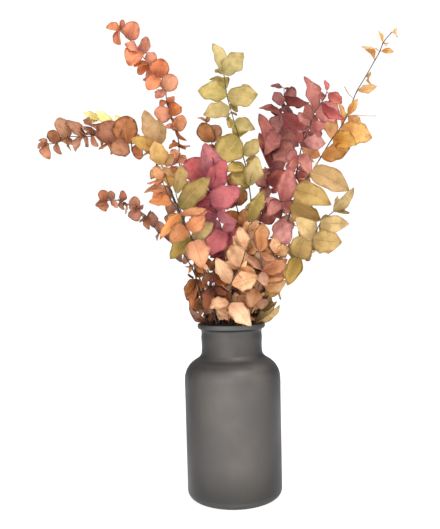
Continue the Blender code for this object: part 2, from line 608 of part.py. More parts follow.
def make_stem(name, knots, collection):
    """A branch's stem as a mesh: a slim tube that tapers from its foot to its tip."""
    route = smooth_route(stem_points(knots), STEM_STEP)
    curve = bpy.data.curves.new(name, "CURVE")
    curve.dimensions = "3D"
    curve.bevel_depth = MM
    curve.bevel_resolution = 0
    curve.use_fill_caps = True
    spline = curve.splines.new("POLY")
    spline.points.add(len(route) - 1)
    for i, place in enumerate(route):
        spline.points[i].co = (*(place * MM), 1)
        spline.points[i].radius = stem_radius(i / (len(route) - 1))
    tube = bpy.data.objects.new(name + " tube", curve)
    collection.objects.link(tube)
    graph = bpy.context.evaluated_depsgraph_get()
    mesh = bpy.data.meshes.new_from_object(tube.evaluated_get(graph))
    bpy.data.objects.remove(tube)
    ends = bmesh.new()
    ends.from_mesh(mesh)
    bmesh.ops.remove_doubles(ends, verts=ends.verts, dist=0.00002)
    bmesh.ops.recalc_face_normals(ends, faces=ends.faces)
    ends.to_mesh(mesh)
    ends.free()
    stem = bpy.data.objects.new(name, mesh)
    collection.objects.link(stem)
    return stem


def join_leaves(stem, leaves, collection):
    """Joins a branch's leaves to its stem in one solid."""
    foliage = bpy.data.collections.new(stem.name + " leaves")
    collection.children.link(foliage)
    for frame, kind, length, wide in leaves:
        corners, faces, _ = blade_mesh(kind, length, wide)
        mesh = bpy.data.meshes.new("leaf")
        mesh.from_pydata([(frame @ corner) * MM for corner in corners], [], faces)
        foliage.objects.link(bpy.data.objects.new("leaf", mesh))
    union = stem.modifiers.new("leaves", "BOOLEAN")
    union.operation = "UNION"
    union.operand_type = "COLLECTION"
    union.collection = foliage
    union.solver = "MANIFOLD"
    graph = bpy.context.evaluated_depsgraph_get()
    joined = bpy.data.meshes.new_from_object(stem.evaluated_get(graph))
    stem.modifiers.remove(union)
    stem.data = joined
    for leaf in list(foliage.objects):
        bpy.data.objects.remove(leaf)
    bpy.data.collections.remove(foliage)


def build():
    for old in list(bpy.data.objects):
        bpy.data.objects.remove(old)
    collection = bpy.data.collections.new("eucalyptus branches in a bottle")
    bpy.context.scene.collection.children.link(collection)
    bunch = Bunch()
    bunch.add_object("bottle", make_bottle(collection))
    stems = {}
    for name, (_, knots) in BRANCHES.items():
        stems[name] = make_stem("branch_" + name, knots, collection)
        bunch.add_object(name, stems[name])
    for seed, (name, (kind_name, knots)) in enumerate(reversed(BRANCHES.items())):
        kind = KINDS[kind_name]
        leaves = []
        for knot, leaf in leaves_of(kind, knots, random.Random(seed)):
            settled = settle(bunch, name, kind, knot, leaf)
            if settled:
                frame, length, wide = settled
                leaves.append((frame, kind, length, wide))
        join_leaves(stems[name], leaves, collection)
        stems[name].data.materials.clear()
        stems[name].data.materials.append(material(name + " leaves", LEAF_COLOURS[name], 0.7))


build()
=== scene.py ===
"""Dyed and dried eucalyptus branches in a frosted glass bottle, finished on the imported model."""

import math
import random

import bmesh
import bpy
from mathutils import Matrix, Vector
from mathutils.bvhtree import BVHTree


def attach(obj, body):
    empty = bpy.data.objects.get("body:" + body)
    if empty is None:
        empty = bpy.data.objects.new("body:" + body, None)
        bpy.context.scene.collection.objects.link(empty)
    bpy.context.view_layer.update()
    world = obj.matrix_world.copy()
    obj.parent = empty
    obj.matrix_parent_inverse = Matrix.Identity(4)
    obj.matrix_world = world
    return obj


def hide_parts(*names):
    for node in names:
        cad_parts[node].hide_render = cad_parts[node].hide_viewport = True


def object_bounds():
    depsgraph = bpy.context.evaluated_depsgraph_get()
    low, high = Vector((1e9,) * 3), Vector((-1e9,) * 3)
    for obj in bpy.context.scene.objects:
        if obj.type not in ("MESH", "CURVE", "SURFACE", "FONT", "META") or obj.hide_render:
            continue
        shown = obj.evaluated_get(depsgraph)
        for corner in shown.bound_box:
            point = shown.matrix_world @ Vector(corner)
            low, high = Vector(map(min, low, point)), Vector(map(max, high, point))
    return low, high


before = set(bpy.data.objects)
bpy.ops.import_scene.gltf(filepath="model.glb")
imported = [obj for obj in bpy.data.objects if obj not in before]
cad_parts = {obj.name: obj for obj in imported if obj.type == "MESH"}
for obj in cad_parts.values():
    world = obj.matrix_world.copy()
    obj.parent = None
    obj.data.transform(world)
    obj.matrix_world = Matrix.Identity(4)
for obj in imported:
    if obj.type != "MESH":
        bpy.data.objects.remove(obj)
cad_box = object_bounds()

# The bottle is one blown shell of dark grey glass with a rolled lip and an even wall. It is frosted all
# over by acid, outside and in. It stands on its own flat base, and the stems rest loosely in it.

# Sizes are in mm, and a pair is a radius and a height.
MM = 0.001
BOTTLE_HEIGHT = 253.0
BASE_RADIUS = 62.0
HEEL = 70.0, 9.0
BODY = (70.9, 153.0), (71.0, 169.0)
SHOULDER = (70.2, 178.0), (67.6, 185.5), (62.8, 192.5), (56.6, 197.8), (49.6, 202.4), (46.0, 206.6)
NECK = (44.9, 213.0), (45.2, 231.0), (46.2, 244.0)
LIP = (49.4, 245.6), (50.4, 248.6), (49.6, 251.8)
LIP_TOP = 47.0
GLASS = 3.6
FLOOR_GLASS = 6.0
MOUTH_EDGE = 1.6, 0.8
MOUTH_STRAIGHT = 4.0
NECK_DROP = 2.0
SHOULDER_DROP = 1.5
INNER_HEEL = 9.0
INNER_CURVE = 2.0, 3.0
FLOOR_EDGE = 3.0
HEEL_FACETS = 6
SECTION_STEP = 2.5
BOTTLE_STEPS = 96
WELD = 0.00002


def smooth_route(points, step):
    """The points of a smooth curve through these points, about this far apart."""
    chords = [max((b - a).length, 1e-6) for a, b in zip(points, points[1:])]
    slopes = [(b - a) / chord for a, b, chord in zip(points, points[1:], chords)]
    tangents = [slopes[0]]
    for before, after, short, long in zip(slopes, slopes[1:], chords, chords[1:]):
        tangents.append((before * long + after * short) / (short + long))
    tangents.append(slopes[-1])
    route = []
    for i, chord in enumerate(chords):
        pieces = max(1, round(chord / step))
        for j in range(pieces):
            t = j / pieces
            route.append(
                points[i] * (2 * t**3 - 3 * t**2 + 1)
                + tangents[i] * chord * (t**3 - 2 * t**2 + t)
                + points[i + 1] * (3 * t**2 - 2 * t**3)
                + tangents[i + 1] * chord * (t**3 - t**2)
            )
    route.append(points[-1])
    return route


def bottle_section():
    """The bottle's section in mm, from the base's centre round the outside and back inside."""
    heel_turns = [math.radians(90 / HEEL_FACETS * i) for i in range(HEEL_FACETS + 1)]
    heel = [
        (BASE_RADIUS + (HEEL[0] - BASE_RADIUS) * math.sin(turn), HEEL[1] * (1 - math.cos(turn)))
        for turn in heel_turns
    ]
    neck_inside = NECK[0][0] - GLASS
    shoulder_inside = [(radius - GLASS, height - SHOULDER_DROP) for radius, height in SHOULDER]
    outer = [*BODY, *SHOULDER, *NECK, *LIP, (LIP_TOP, BOTTLE_HEIGHT)]
    inner = [
        (neck_inside + MOUTH_EDGE[0], BOTTLE_HEIGHT - MOUTH_EDGE[1]),
        (neck_inside, BOTTLE_HEIGHT - MOUTH_STRAIGHT),
        (neck_inside, NECK[1][1]),
        (neck_inside, NECK[0][1] - NECK_DROP),
        *reversed(shoulder_inside),
        (BODY[0][0] - GLASS, BODY[0][1]),
        (HEEL[0] - GLASS, FLOOR_GLASS + INNER_HEEL),
    ]
    floor = [
        (BASE_RADIUS + INNER_CURVE[0], FLOOR_GLASS + INNER_CURVE[1]),
        (BASE_RADIUS - FLOOR_EDGE, FLOOR_GLASS),
        (0, FLOOR_GLASS),
    ]
    parts = [(0, 0)] + heel, outer + inner, floor
    base, wall, floor = ([Vector((radius, 0, height)) for radius, height in part] for part in parts)
    return base + smooth_route(wall, SECTION_STEP) + floor


def stand(name, data):
    """A new object in the scene, with this mesh, curve, lamp or lens."""
    made = bpy.data.objects.new(name, data)
    bpy.context.scene.collection.objects.link(made)
    return made


turning = bmesh.new()
section = [turning.verts.new(place * MM) for place in bottle_section()]
for lower, upper in zip(section, section[1:]):
    turning.edges.new((lower, upper))
bmesh.ops.spin(
    turning, geom=turning.verts[:] + turning.edges[:], cent=(0, 0, 0), axis=(0, 0, 1),
    angle=2 * math.pi, steps=BOTTLE_STEPS, use_merge=True,
)
bmesh.ops.remove_doubles(turning, verts=turning.verts, dist=WELD)
bmesh.ops.recalc_face_normals(turning, faces=turning.faces)
for face in turning.faces:
    face.smooth = True
bottle_mesh = bpy.data.meshes.new("glass_bottle")
turning.to_mesh(bottle_mesh)
turning.free()
bottle_mesh.set_sharp_from_angle(angle=math.radians(40))
bottle = stand("glass_bottle", bottle_mesh)


def shade(red, green, blue):
    """A linear colour from its red, green and blue as seen on a screen, 0 to 255."""
    parts = []
    for value in (red, green, blue):
        share = value / 255
        parts.append(share / 12.92 if share <= 0.04045 else ((share + 0.055) / 1.055) ** 2.4)
    return (*parts, 1.0)


def add_node(tree, kind, inputs, **settings):
    """Adds a shader node. Each input is a plain value or the socket that feeds it."""
    made = tree.nodes.new("ShaderNode" + kind)
    for name, value in settings.items():
        setattr(made, name, value)
    for name, value in inputs.items():
        if isinstance(value, bpy.types.NodeSocket):
            tree.links.new(value, made.inputs[name])
        else:
            made.inputs[name].default_value = value
    return made


def work(tree, operation, *values):
    """The result of a sum on values or sockets."""
    return add_node(tree, "Math", dict(enumerate(values)), operation=operation).outputs[0]


def times(tree, *values):
    """The product of two values or sockets."""
    return work(tree, "MULTIPLY", *values)


def span(tree, value, low, high, start=0.0, end=1.0):
    """A value's smooth rise from start to end as it goes from low to high."""
    inputs = {"Value": value, "From Min": low, "From Max": high, "To Min": start, "To Max": end}
    return add_node(tree, "MapRange", inputs, interpolation_type="SMOOTHSTEP").outputs[0]


def band(tree, value, rise, full, fall, end, strength=1.0):
    """A value's place in a band: up from rise to full strength, and down from fall to nothing at end."""
    return times(tree, span(tree, value, rise, full, 0.0, strength), span(tree, value, end, fall))


def mix(tree, factor, first, second):
    """Two colours blended by a factor."""
    return add_node(tree, "Mix", {0: factor, 6: first, 7: second}, data_type="RGBA").outputs[2]


def noise(tree, where, scale, detail=2.0, roughness=0.5):
    """A noise value over the surface."""
    inputs = {"Vector": where, "Scale": scale, "Detail": detail, "Roughness": roughness}
    return add_node(tree, "TexNoise", inputs).outputs[0]


def new_material(name, **plain):
    """A material with these plain values on its Principled shader."""
    made = bpy.data.materials.new(name)
    made.use_nodes = True
    shader = made.node_tree.nodes["Principled BSDF"]
    for socket, value in plain.items():
        shader.inputs[socket.replace("_", " ")].default_value = value
    return made, made.node_tree, shader


def finish(tree, shader, colour, roughness, relief, strength, depth):
    """Feeds a material's colour and roughness, and its relief as a bump of this depth in metres."""
    raised = add_node(tree, "Bump", {"Height": relief, "Strength": strength, "Distance": depth}).outputs[0]
    for socket, value in {"Base Color": colour, "Roughness": roughness, "Normal": raised}.items():
        tree.links.new(value, shader.inputs[socket])


# Where the glass's painted light and shade fall, and where the lip's grey begins, in metres up the bottle or
# to the right of its axis.
HEEL_RISE = 0.0, 0.07
UNDER_SHOULDER_HIGHLIGHT = 0.172, 0.182, 0.188, 0.196
SHOULDER_BAND = 0.186, 0.194, 0.199, 0.204
SHOULDER_TOP_HIGHLIGHT = 0.191, 0.197, 0.201, 0.206
NECK_FOOT = 0.203, 0.211
CREASE = 0.2405, 0.2435, 0.2445, 0.2465
LIP_EDGE = 0.241, 0.246
LEFT_SIDE = -0.05, -0.02
RIGHT_SIDE = 0.012, 0.05

frosted, tree, shader = new_material("frosted_glass", Transmission_Weight=0.4, IOR=1.48)
here = add_node(tree, "TexCoord", {}).outputs["Object"]
right, _, height = add_node(tree, "SeparateXYZ", {0: here}).outputs
cloud = noise(tree, here, 14.0, 3.0)
drawn_out = add_node(tree, "Mapping", {"Vector": here, "Scale": (1.0, 1.0, 0.12)}).outputs[0]
streak = noise(tree, drawn_out, 70.0, 3.0, 0.55)
tone = mix(tree, span(tree, cloud, 0.35, 0.68), shade(112, 107, 104), shade(131, 124, 116))
tone = mix(tree, span(tree, streak, 0.56, 0.72, 0.0, 0.22), tone, shade(80, 74, 68))
tone = mix(tree, span(tree, height, *LIP_EDGE), tone, shade(128, 132, 130))
# Painted shade: the glass darkens where it turns away from the camera, as the front light falls off round the
# bottle.
turned_away = add_node(tree, "LayerWeight", {"Blend": 0.5}).outputs["Facing"]
tone = mix(tree, span(tree, turned_away, -0.1, 0.6), tone, shade(50, 47, 46))
# Painted shade: the glass is darker towards the bottom.
heel_shade = span(tree, height, *HEEL_RISE, 0.28, 1.0)
# Painted shade: the glass is darker up the neck.
neck_shade = span(tree, height, *NECK_FOOT, 1.0, 0.72)
# Painted light and shade round the shoulder: a band darker at the left and middle and lighter at the right,
# and painted highlights under the shoulder and on its top.
side_light_and_shade = work(tree, "ADD", span(tree, right, *LEFT_SIDE, -0.1, -0.3), span(tree, right, *RIGHT_SIDE, 0.0, 1.3))
shoulder_light_and_shade = times(tree, band(tree, height, *SHOULDER_BAND), side_light_and_shade)
shoulder_light_and_shade = work(tree, "ADD", shoulder_light_and_shade, band(tree, height, *UNDER_SHOULDER_HIGHLIGHT, 0.2))
above = work(tree, "ADD", band(tree, height, *SHOULDER_TOP_HIGHLIGHT, 0.45), 1.0)
shoulder_light_and_shade = work(tree, "ADD", shoulder_light_and_shade, above)
# A painted shadow in the crease between the neck and the lip.
crease_shade = work(tree, "MULTIPLY_ADD", band(tree, height, *CREASE), -0.35, 1.0)
light = times(tree, times(tree, heel_shade, shoulder_light_and_shade), neck_shade)
light = times(tree, light, crease_shade)
tone = add_node(tree, "HueSaturation", {"Color": tone, "Value": light}).outputs[0]
grain = noise(tree, here, 1900.0, 2.0, 0.6)
finish(tree, shader, tone, span(tree, cloud, 0.3, 0.7, 0.46, 0.58), grain, 0.25, 0.0002)
bottle_mesh.materials.append(frosted)
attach(bottle, "root")
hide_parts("bottle")

# The stems are thin woody twigs with a little swelling at each knot. They stand on the bottle's floor,
# cross inside it as in a spiralled bunch, pass close together in the neck, and spread above it.

# How the photograph was taken, in mm, pixels and degrees, and then the stems' own sizes in mm.
LENS_DISTANCE = 850.0
LENS_HEIGHT = 329.0
FOCAL_PIXELS = 571.0
PICTURE_WIDTH = 440
PICTURE_HEIGHT = 529
AXIS_RIGHT = 9.9
HORIZON_BELOW = 7.0
PICTURE_ROLL = math.radians(1.35)
FOOT_RADIUS = 1.7
TIP_RADIUS = 0.6
FOOT_TURN = math.radians(75)
FOOT_SPREAD = 1.25
NECK_SHARE = 0.22
SEAT_GAP = 0.3
CAD_STEM_STEP = 55.0
STEM_STEP = 6.0
KNOT_SWELL = 1.3
ROUND_TWIG = 2

# Each branch from the back of the bunch to its front: its kind of leaf, how many filler leaves a knot has,
# and its knots from the bottle's mouth to the tip. A knot is (across, down, depth) and its leaves. A leaf is
# (tip across, tip down, lean forward, roll, width). Across and down are pixels of the photograph, and depth
# is mm behind the bottle's axis.
BRANCHES = {}
BRANCHES["lemon"] = "ovate", 0, [
    (216, 322, 30), (204, 290, 36), (190, 250, 42), (177, 210, 46), (163, 175, 50), (146, 150, 53),
    (128, 134, 56, (116, 114, 5, 15, 0.5)),
    (113, 125, 58, (97, 110, 5, 10, 0.6), (107, 113, 5, 20, 0.5)),
    (100, 120, 59, (84, 112, 5, 10, 0.6), (86, 121, 5, 20, 0.5)),
]
BRANCHES["orange_crown"] = "round", 1, [
    (221, 322, 32), (212, 288, 38), (203, 250, 44),
    (192, 210, 49, (181, 203, 0, 30), (203, 202, 0, 40)), (184, 184, 52, (176, 176, 0, 50)),
    (180, 170, 54, (171, 165, 10, 50, 0.8), (176, 178, 15, 50, 0.8)),
    (179, 157, 56, (172, 151, 25, 20, 1.1), (186, 163, 20, 30)),
    (179, 144, 57, (169, 147, 15, 35, 0.8), (185, 150, -10, 60, 0.6)),
    (176, 130, 59, (180, 119, 5, 10), (165, 127, 20, 62, 0.8), (184, 142, -10, 66, 0.5)),
    (171, 115, 61, (177, 102, -15, 20, 0.9), (157, 114, 35, 15, 1.1)),
    (167, 102, 62, (159, 107, 10, 40), (175, 99, 20, 30)),
    (165, 90, 64, (175, 75, 0, 15), (156, 98, 20, 15)),
    (157, 77, 65, (163, 61, 20, 5, 1.12), (149, 91, 20, 10, 0.95)),
    (148, 64, 67, (154, 50, -15, 10, 0.75), (135, 67, 25, 46)),
    (139, 51, 69, (150, 36, -15, 50, 0.8), (131, 64, 35, 5, 1.2), (127, 43, 0, 40)),
    (129, 39, 71, (136, 25, 25, 5, 1.05), (122, 27, -10, 50, 0.9)),
    (119, 30, 72, (107, 25, 10, 20), (119, 47, 20, 40, 0.8), (125, 22, -20, 55, 0.8)),
]
BRANCHES["burgundy"] = "ovate", 2, [
    (235, 322, 33), (243, 290, 45, (229, 276, 0, 20, 0.8), (257, 279, 0, 20, 0.8)),
    (252, 255, 56, (236, 244, 0, 20, 0.8), (279, 257, 10, 25, 0.6)),
    (260, 222, 65, (247, 206, 0, 20, 0.8), (278, 214, 5, 20, 0.85), (256, 246, 10, 30, 0.7)),
    (266, 202, 70, (253, 216, 0, 30, 0.8), (268, 224, 10, 20, 0.7)),
    (269, 186, 74, (255, 171, 15, 5, 1.05), (285, 172, 15, 5, 1.0), (260, 203, 10, 30, 0.85)),
    (270, 168, 79, (262, 133, 10, 30, 0.45), (286, 157, 10, 20, 0.9)),
    (274, 150, 83, (264, 113, 5, 30, 0.48), (296, 163, 30, 5, 0.95)),
    (278, 132, 88, (297, 146, 15, 20, 0.85), (264, 158, 20, 15, 0.6)),
    (281, 115, 92, (262, 102, 0, 45, 0.6), (266, 138, 10, 20, 0.65), (308, 143, 10, 10, 0.7)),
    (282, 107, 94, (275, 92, 10, 10, 0.95)), (284, 96, 96, (307, 108, 0, 58, 0.7)),
    (284, 88, 98, (271, 83, 0, 20, 0.6), (290, 90, 0, 60, 0.9)),
]
BRANCHES["rust"] = "round", 2, [
    (230, 322, 20), (233, 285, 32, (221, 277, 0, 20, 0.9), (246, 277, 0, 20, 0.9)),
    (238, 250, 45, (225, 240, 0, 20, 0.9), (252, 242, 0, 20, 0.9)),
    (240, 225, 54, (228, 211, 10, 20, 0.9), (247, 210, 10, 20, 0.8)),
    (236, 204, 61, (246, 190, 0, 10, 0.9), (225, 205, 0, 20)), (227, 180, 69, (243, 178, 0, 20)),
    (219, 160, 76, (216, 146, 0, 40, 0.8)),
    (211, 141, 82, (202, 124, 15, 5, 0.85), (217, 123, 0, 10, 0.9), (219, 134, 0, 50, 0.6)),
    (206, 122, 88, (198, 116, 0, 50, 0.5), (210, 114, -10, 40, 0.6)),
]
BRANCHES["brown_arm"] = "round", 1, [
    (212, 322, 20), (203, 290, 22), (193, 255, 24), (183, 222, 26), (172, 195, 27),
    (160, 170, 28, (150, 178, 0, 30)), (149, 153, 29),
    (138, 144, 30, (137, 159, -15, 25, 0.9), (135, 129, -20, 50, 0.8)),
    (127, 143, 26, (125, 116, 8, 0, 0.95), (115, 154, 30, 10, 1.1)),
    (111, 143, 32, (107, 120, 0, 0, 1.05), (99, 148, 20, 50, 0.6)),
    (101, 134, 32, (80, 110, -10, 66, 0.9)),
    (92, 136, 32, (84, 122, -10, 60, 1.0), (96, 147, 10, 50, 0.8)),
    (83, 137, 32, (73, 116, 10, 30, 0.8), (74, 150, 10, 42, 0.8)),
    (67, 137, 33, (62, 117, 10, 30, 0.78), (68, 151, -10, 66, 0.7)),
    (57, 143, 34, (52, 130, 10, 15, 1.0), (59, 154, 20, 40, 0.9)),
    (46, 144, 34, (39, 138, 0, 40, 0.9), (37, 148, 15, 35, 0.8), (48, 158, 25, 10, 0.85)),
]
BRANCHES["lime"] = "ovate", 1, [
    (237, 322, 2), (240, 285, 10), (245, 250, 17, (232, 238, 0, 20, 0.7), (260, 240, 5, 20, 0.7)),
    (249, 222, 21, (265, 193, 15, 15, 0.5)), (251, 202, 25, (244, 209, 10, 40, 0.5)),
    (249, 186, 27, (233, 165, 10, 5, 0.9), (258, 158, 5, 10, 0.78)),
    (246, 167, 30, (225, 168, 5, 25, 0.85)), (243, 156, 32, (260, 140, 5, 15, 0.75)),
    (239, 138, 35, (217, 162, 20, 0, 0.9)),
    (234, 121, 37, (253, 131, 5, 15, 0.85), (231, 130, 10, 50, 0.6)),
    (230, 107, 39, (205, 115, 20, 5, 0.8)),
    (227, 96, 41, (256, 97, 20, 10, 0.85), (200, 91, 20, 5, 0.85)),
    (226, 89, 42, (210, 66, -5, 30, 0.7)),
    (224, 75, 44, (214, 41, 5, 10, 0.46), (243, 55, 15, 10, 0.8), (215, 67, -10, 30, 0.8)),
]
BRANCHES["rust_curl"] = "round", 0, [
    (206, 322, 4), (201, 295, -4), (192, 268, -11, (184, 262, 0, 40, 0.8)),
    (180, 250, -15, (180, 262, 10, 40, 0.8)), (168, 240, -19, (167, 229, -10, 30)),
    (160, 233, -21, (160, 221, 0, 30, 0.9), (156, 240, 10, 55, 0.7)),
    (154, 227, -23, (153, 211, -5, 45, 0.8)),
    (147, 217, -25, (153, 209, 0, 45, 0.8), (147, 229, 15, 30, 0.8), (139, 221, 10, 40, 0.7)),
    (136, 209, -28, (135, 197, 15, 10, 0.9), (128, 209, 20, 30, 0.9), (137, 220, 25, 10, 1.2),
        (144, 206, 10, 40, 0.7)),
    (127, 204, -30, (124, 214, 0, 60, 0.5)),
    (121, 201, -31, (125, 191, 0, 45, 0.9), (123, 210, 0, 50, 0.8)),
    (111, 200, -33, (117, 208, 15, 30, 0.8), (112, 191, 10, 30, 0.9)),
    (105, 201, -34, (103, 190, 10, 10, 1.1), (96, 204, 20, 30, 0.9), (106, 211, 25, 20, 1.1)),
]
BRANCHES["amber"] = "ovate", 0, [
    (248, 322, 20), (262, 288, 13), (277, 254, 8), (290, 222, 3), (302, 192, -1), (312, 172, -3),
    (321, 157, -5, (302, 147, 0, 20, 0.78), (350, 149, 10, 15, 0.62)),
    (332, 139, -8, (328, 107, 10, 20, 0.62), (353, 145, 25, 10, 1.0)),
    (341, 127, -10, (371, 138, 15, 10, 0.8), (344, 101, 5, 30, 0.5)),
    (347, 116, -11, (358, 100, 5, 15, 0.52), (364, 124, -15, 10, 0.8)),
    (357, 91, -14, (377, 86, 5, 10, 0.5)), (366, 76, -16), (375, 60, -18, (365, 43, 0, 25, 0.55)),
    (380, 51, -19, (394, 52, 5, 15, 0.52), (367, 45, -10, 45, 0.4)),
    (383, 43, -20, (380, 30, 0, 20, 0.36), (389, 44, 0, 50, 0.36)), (392, 32, -22),
]
BRANCHES["straw"] = "ovate", 0, [
    (213, 322, 2), (207, 290, -6), (198, 258, -13), (187, 228, -19), (178, 207, -23), (170, 188, -27),
    (162, 166, -31, (156, 144, 25, 8, 0.85), (174, 155, 5, 30, 0.75), (150, 175, 10, 25, 0.62),
        (172, 178, 10, 30, 0.62)),
    (155, 149, -34, (145, 109, 5, 8, 0.46), (158, 111, -5, 12, 0.46), (133, 139, 10, 5, 0.72)),
]
BRANCHES["rose"] = "ovate", 2, [
    (245, 322, -8), (257, 288, -15), (268, 256, -20), (276, 240, -23, (262, 250, 0, 25)),
    (280, 219, -26, (270, 190, -5, 20, 0.6), (283, 247, 30, 5, 0.85)),
    (282, 202, -28, (290, 168, 5, 10, 0.6), (268, 214, 20, 10, 0.85), (297, 214, 15, 10, 0.85)),
    (292, 184, -31, (280, 176, 5, 30, 0.8)), (297, 170, -33, (307, 189, 10, 20, 0.75)),
    (300, 154, -35, (307, 181, 15, 15, 0.45), (290, 175, 5, 15, 0.45)),
    (303, 141, -37, (325, 143, 10, 10, 0.88)),
    (310, 127, -39, (300, 111, 10, 15, 0.9), (324, 127, 20, 15, 1.0), (321, 107, -10, 20, 0.75)),
    (315, 111, -41, (308, 76, 10, 15, 0.5)),
    (322, 102, -43, (341, 123, 5, 55, 0.5), (322, 84, -10, 20, 0.6)),
    (327, 92, -44, (341, 104, 5, 25, 0.8), (326, 79, 0, 30, 0.6)),
]
BRANCHES["pink"] = "broad", 3, [
    (223, 322, -6), (225, 285, -20), (224, 254, -30),
    (222, 231, -38, (210, 253, 25, 0, 1.0), (237, 222, 10, 30, 0.8)),
    (217, 214, -43, (203, 205, 5, 40, 0.7), (238, 227, 10, 45, 0.6)),
    (211, 201, -48, (239, 190, 20, 5, 0.85)),
    (209, 186, -52, (226, 161, 5, 15, 0.8), (183, 154, 5, 10, 0.85), (181, 191, -20, 30, 0.6)),
    (208, 173, -56, (207, 143, 5, 0, 1.0)),
]
BRANCHES["honey"] = "broad", 0, [
    (251, 322, 4), (266, 286, -14), (279, 252, -28), (287, 224, -38),
    (293, 203, -46, (318, 221, 15, 20, 0.85)), (297, 190, -50, (328, 208, 20, 10, 0.66)),
    (306, 179, -55, (317, 169, -20, 30, 0.6)),
    (313, 172, -58, (347, 191, 15, 8, 0.68), (320, 161, -10, 40, 0.5)),
]
BRANCHES["olive"] = "ovate", 1, [
    (223, 322, -20), (212, 288, -33), (201, 258, -43),
    (191, 237, -50, (168, 256, 5, 15, 0.66), (214, 225, 5, 20, 0.8)),
    (180, 208, -58, (209, 180, 15, 5, 0.58)), (176, 194, -62, (185, 163, 0, 25, 0.55)),
]
BRANCHES["umber"] = "ovate", 1, [
    (207, 322, -12, (197, 318, 10, 20, 0.64)),
    (203, 306, -23, (214, 301, 10, 40, 0.64), (200, 315, 15, 20, 0.77)),
    (199, 290, -33, (191, 301, 10, 30, 0.77)),
    (196, 278, -39, (183, 294, 10, 35, 0.64), (190, 307, 15, 35, 0.51), (206, 290, 15, 40, 0.64)),
    (194, 264, -46, (205, 274, 10, 20, 0.9), (187, 272, 0, 60, 0.64), (204, 260, -10, 20, 0.77)),
]
BRANCHES["tan"] = "broad", 1, [
    (255, 322, -10, (278, 303, 5, 20, 0.5), (283, 307, 15, 40, 0.5)),
    (268, 296, -29, (284, 271, 10, 30, 0.5), (269, 277, 15, 45, 0.45)), (283, 272, -43),
    (297, 258, -53, (307, 235, 25, 5, 1.08), (286, 285, 15, 10, 0.6)), (307, 248, -59),
    (313, 239, -64, (340, 243, 15, 8, 0.95), (297, 217, 5, 12, 0.75)),
    (320, 224, -72, (347, 226, 15, 20, 0.72)),
    (334, 211, -80, (356, 191, 10, 30, 0.5), (339, 196, 0, 30, 0.6)),
]
BRANCHES["chestnut"] = "ovate", 4, [
    (216, 322, -21, (219, 303, 5, 20, 0.9)),
    (213, 303, -37, (226, 300, 10, 20, 0.77), (205, 318, 15, 30, 0.77)),
    (213, 287, -48, (204, 308, 20, 25, 0.64), (226, 296, 5, 30, 0.9)),
    (214, 272, -58, (228, 285, 5, 15, 0.95), (209, 259, 5, 30, 0.95), (201, 284, 10, 40, 0.64)),
]
BRANCHES["orange_left"] = "broad", 0, [
    (216, 322, -30), (208, 288, -47), (201, 262, -57, (209, 270, 15, 30, 0.7)),
    (194, 241, -65, (201, 267, 15, 0, 0.86)),
    (187, 229, -70, (172, 242, 25, 8, 1.0), (205, 217, 5, 15, 1.0)),
    (180, 214, -75, (158, 237, 10, 30, 0.42), (206, 212, 5, 60, 0.6)),
    (172, 202, -80, (150, 201, 15, 30, 0.78)),
    (166, 190, -85, (144, 187, 0, 55, 0.8), (152, 196, -10, 30, 0.7)),
    (162, 180, -88, (146, 181, -10, 55, 0.7), (154, 167, 10, 15, 0.85)),
]
BRANCHES["apricot"] = "ovate", 3, [
    (249, 322, -26, (233, 303, 20, 8, 0.64)),
    (253, 306, -41, (236, 296, 5, 10, 0.95), (249, 289, 15, 15, 0.95)),
    (258, 288, -55, (250, 306, 20, 20, 0.95)),
    (262, 270, -67, (265, 286, 10, 20, 0.95), (246, 252, 10, 40, 0.64)),
    (260, 252, -78, (267, 221, -5, 15, 0.62), (250, 228, -5, 20, 0.5), (274, 262, 10, 30, 0.64)),
]
BRANCHES["fawn"] = "ovate", 4, [
    (233, 322, -16, (222, 302, 5, 30, 0.77)),
    (236, 305, -24, (222, 290, 10, 20, 0.9), (252, 298, 5, 20, 0.95), (246, 318, 10, 30, 0.77)),
    (237, 288, -31, (222, 274, 10, 20, 0.77), (253, 283, 0, 20, 0.95)),
    (240, 270, -37, (226, 260, 5, 30, 0.77), (255, 262, 5, 20, 0.95)),
    (244, 253, -42, (234, 239, 5, 20, 0.9), (258, 245, 0, 30, 0.9)),
    (249, 238, -46, (258, 220, 10, 15, 0.79), (247, 220, 5, 15, 0.7)),
]
BRANCHES["cocoa"] = "ovate", 4, [
    (245, 322, -18, (240, 308, 0, 30, 0.77)),
    (256, 304, -20, (244, 292, 5, 20, 0.77), (268, 300, 5, 30, 0.64)),
    (264, 288, -27, (284, 271, 5, 20, 0.7), (252, 274, 5, 30, 0.77)),
    (270, 270, -33, (258, 256, 5, 20, 0.77), (284, 258, 0, 30, 0.77)),
    (274, 254, -38, (264, 243, 5, 20, 0.8), (285, 251, 0, 20, 0.8)),
]
BRANCHES["cream"] = "ovate", 3, [
    (240, 322, -33, (230, 303, 0, 8, 0.7), (249, 304, 10, 30, 0.64)),
    (249, 307, -38, (244, 290, 15, 25, 0.77), (266, 302, 10, 30, 0.64)),
    (260, 293, -43, (254, 277, 10, 30, 0.77)),
    (267, 279, -47, (266, 260, 10, 30, 0.77), (283, 287, 10, 30, 0.77)),
    (271, 267, -50, (267, 243, 10, 55, 0.64), (289, 279, 15, 25, 0.64), (258, 262, 15, 30, 0.64)),
    (275, 255, -53, (276, 236, -5, 10, 0.7), (290, 248, 5, 10, 0.9)),
]
BRANCHES["peach"] = "ovate", 3, [
    (229, 322, -37, (224, 305, 12, 15, 0.7)),
    (230, 303, -50, (207, 302, 15, 35, 0.7), (248, 324, 22, 5, 0.64)),
    (231, 284, -64, (217, 257, 0, 8, 0.56), (258, 277, 12, 5, 0.95)),
    (240, 268, -77, (231, 244, -5, 5, 0.9), (248, 262, 10, 40, 0.64)),
    (246, 249, -88, (240, 225, -5, 8, 0.6), (233, 233, -5, 20, 0.6)),
]


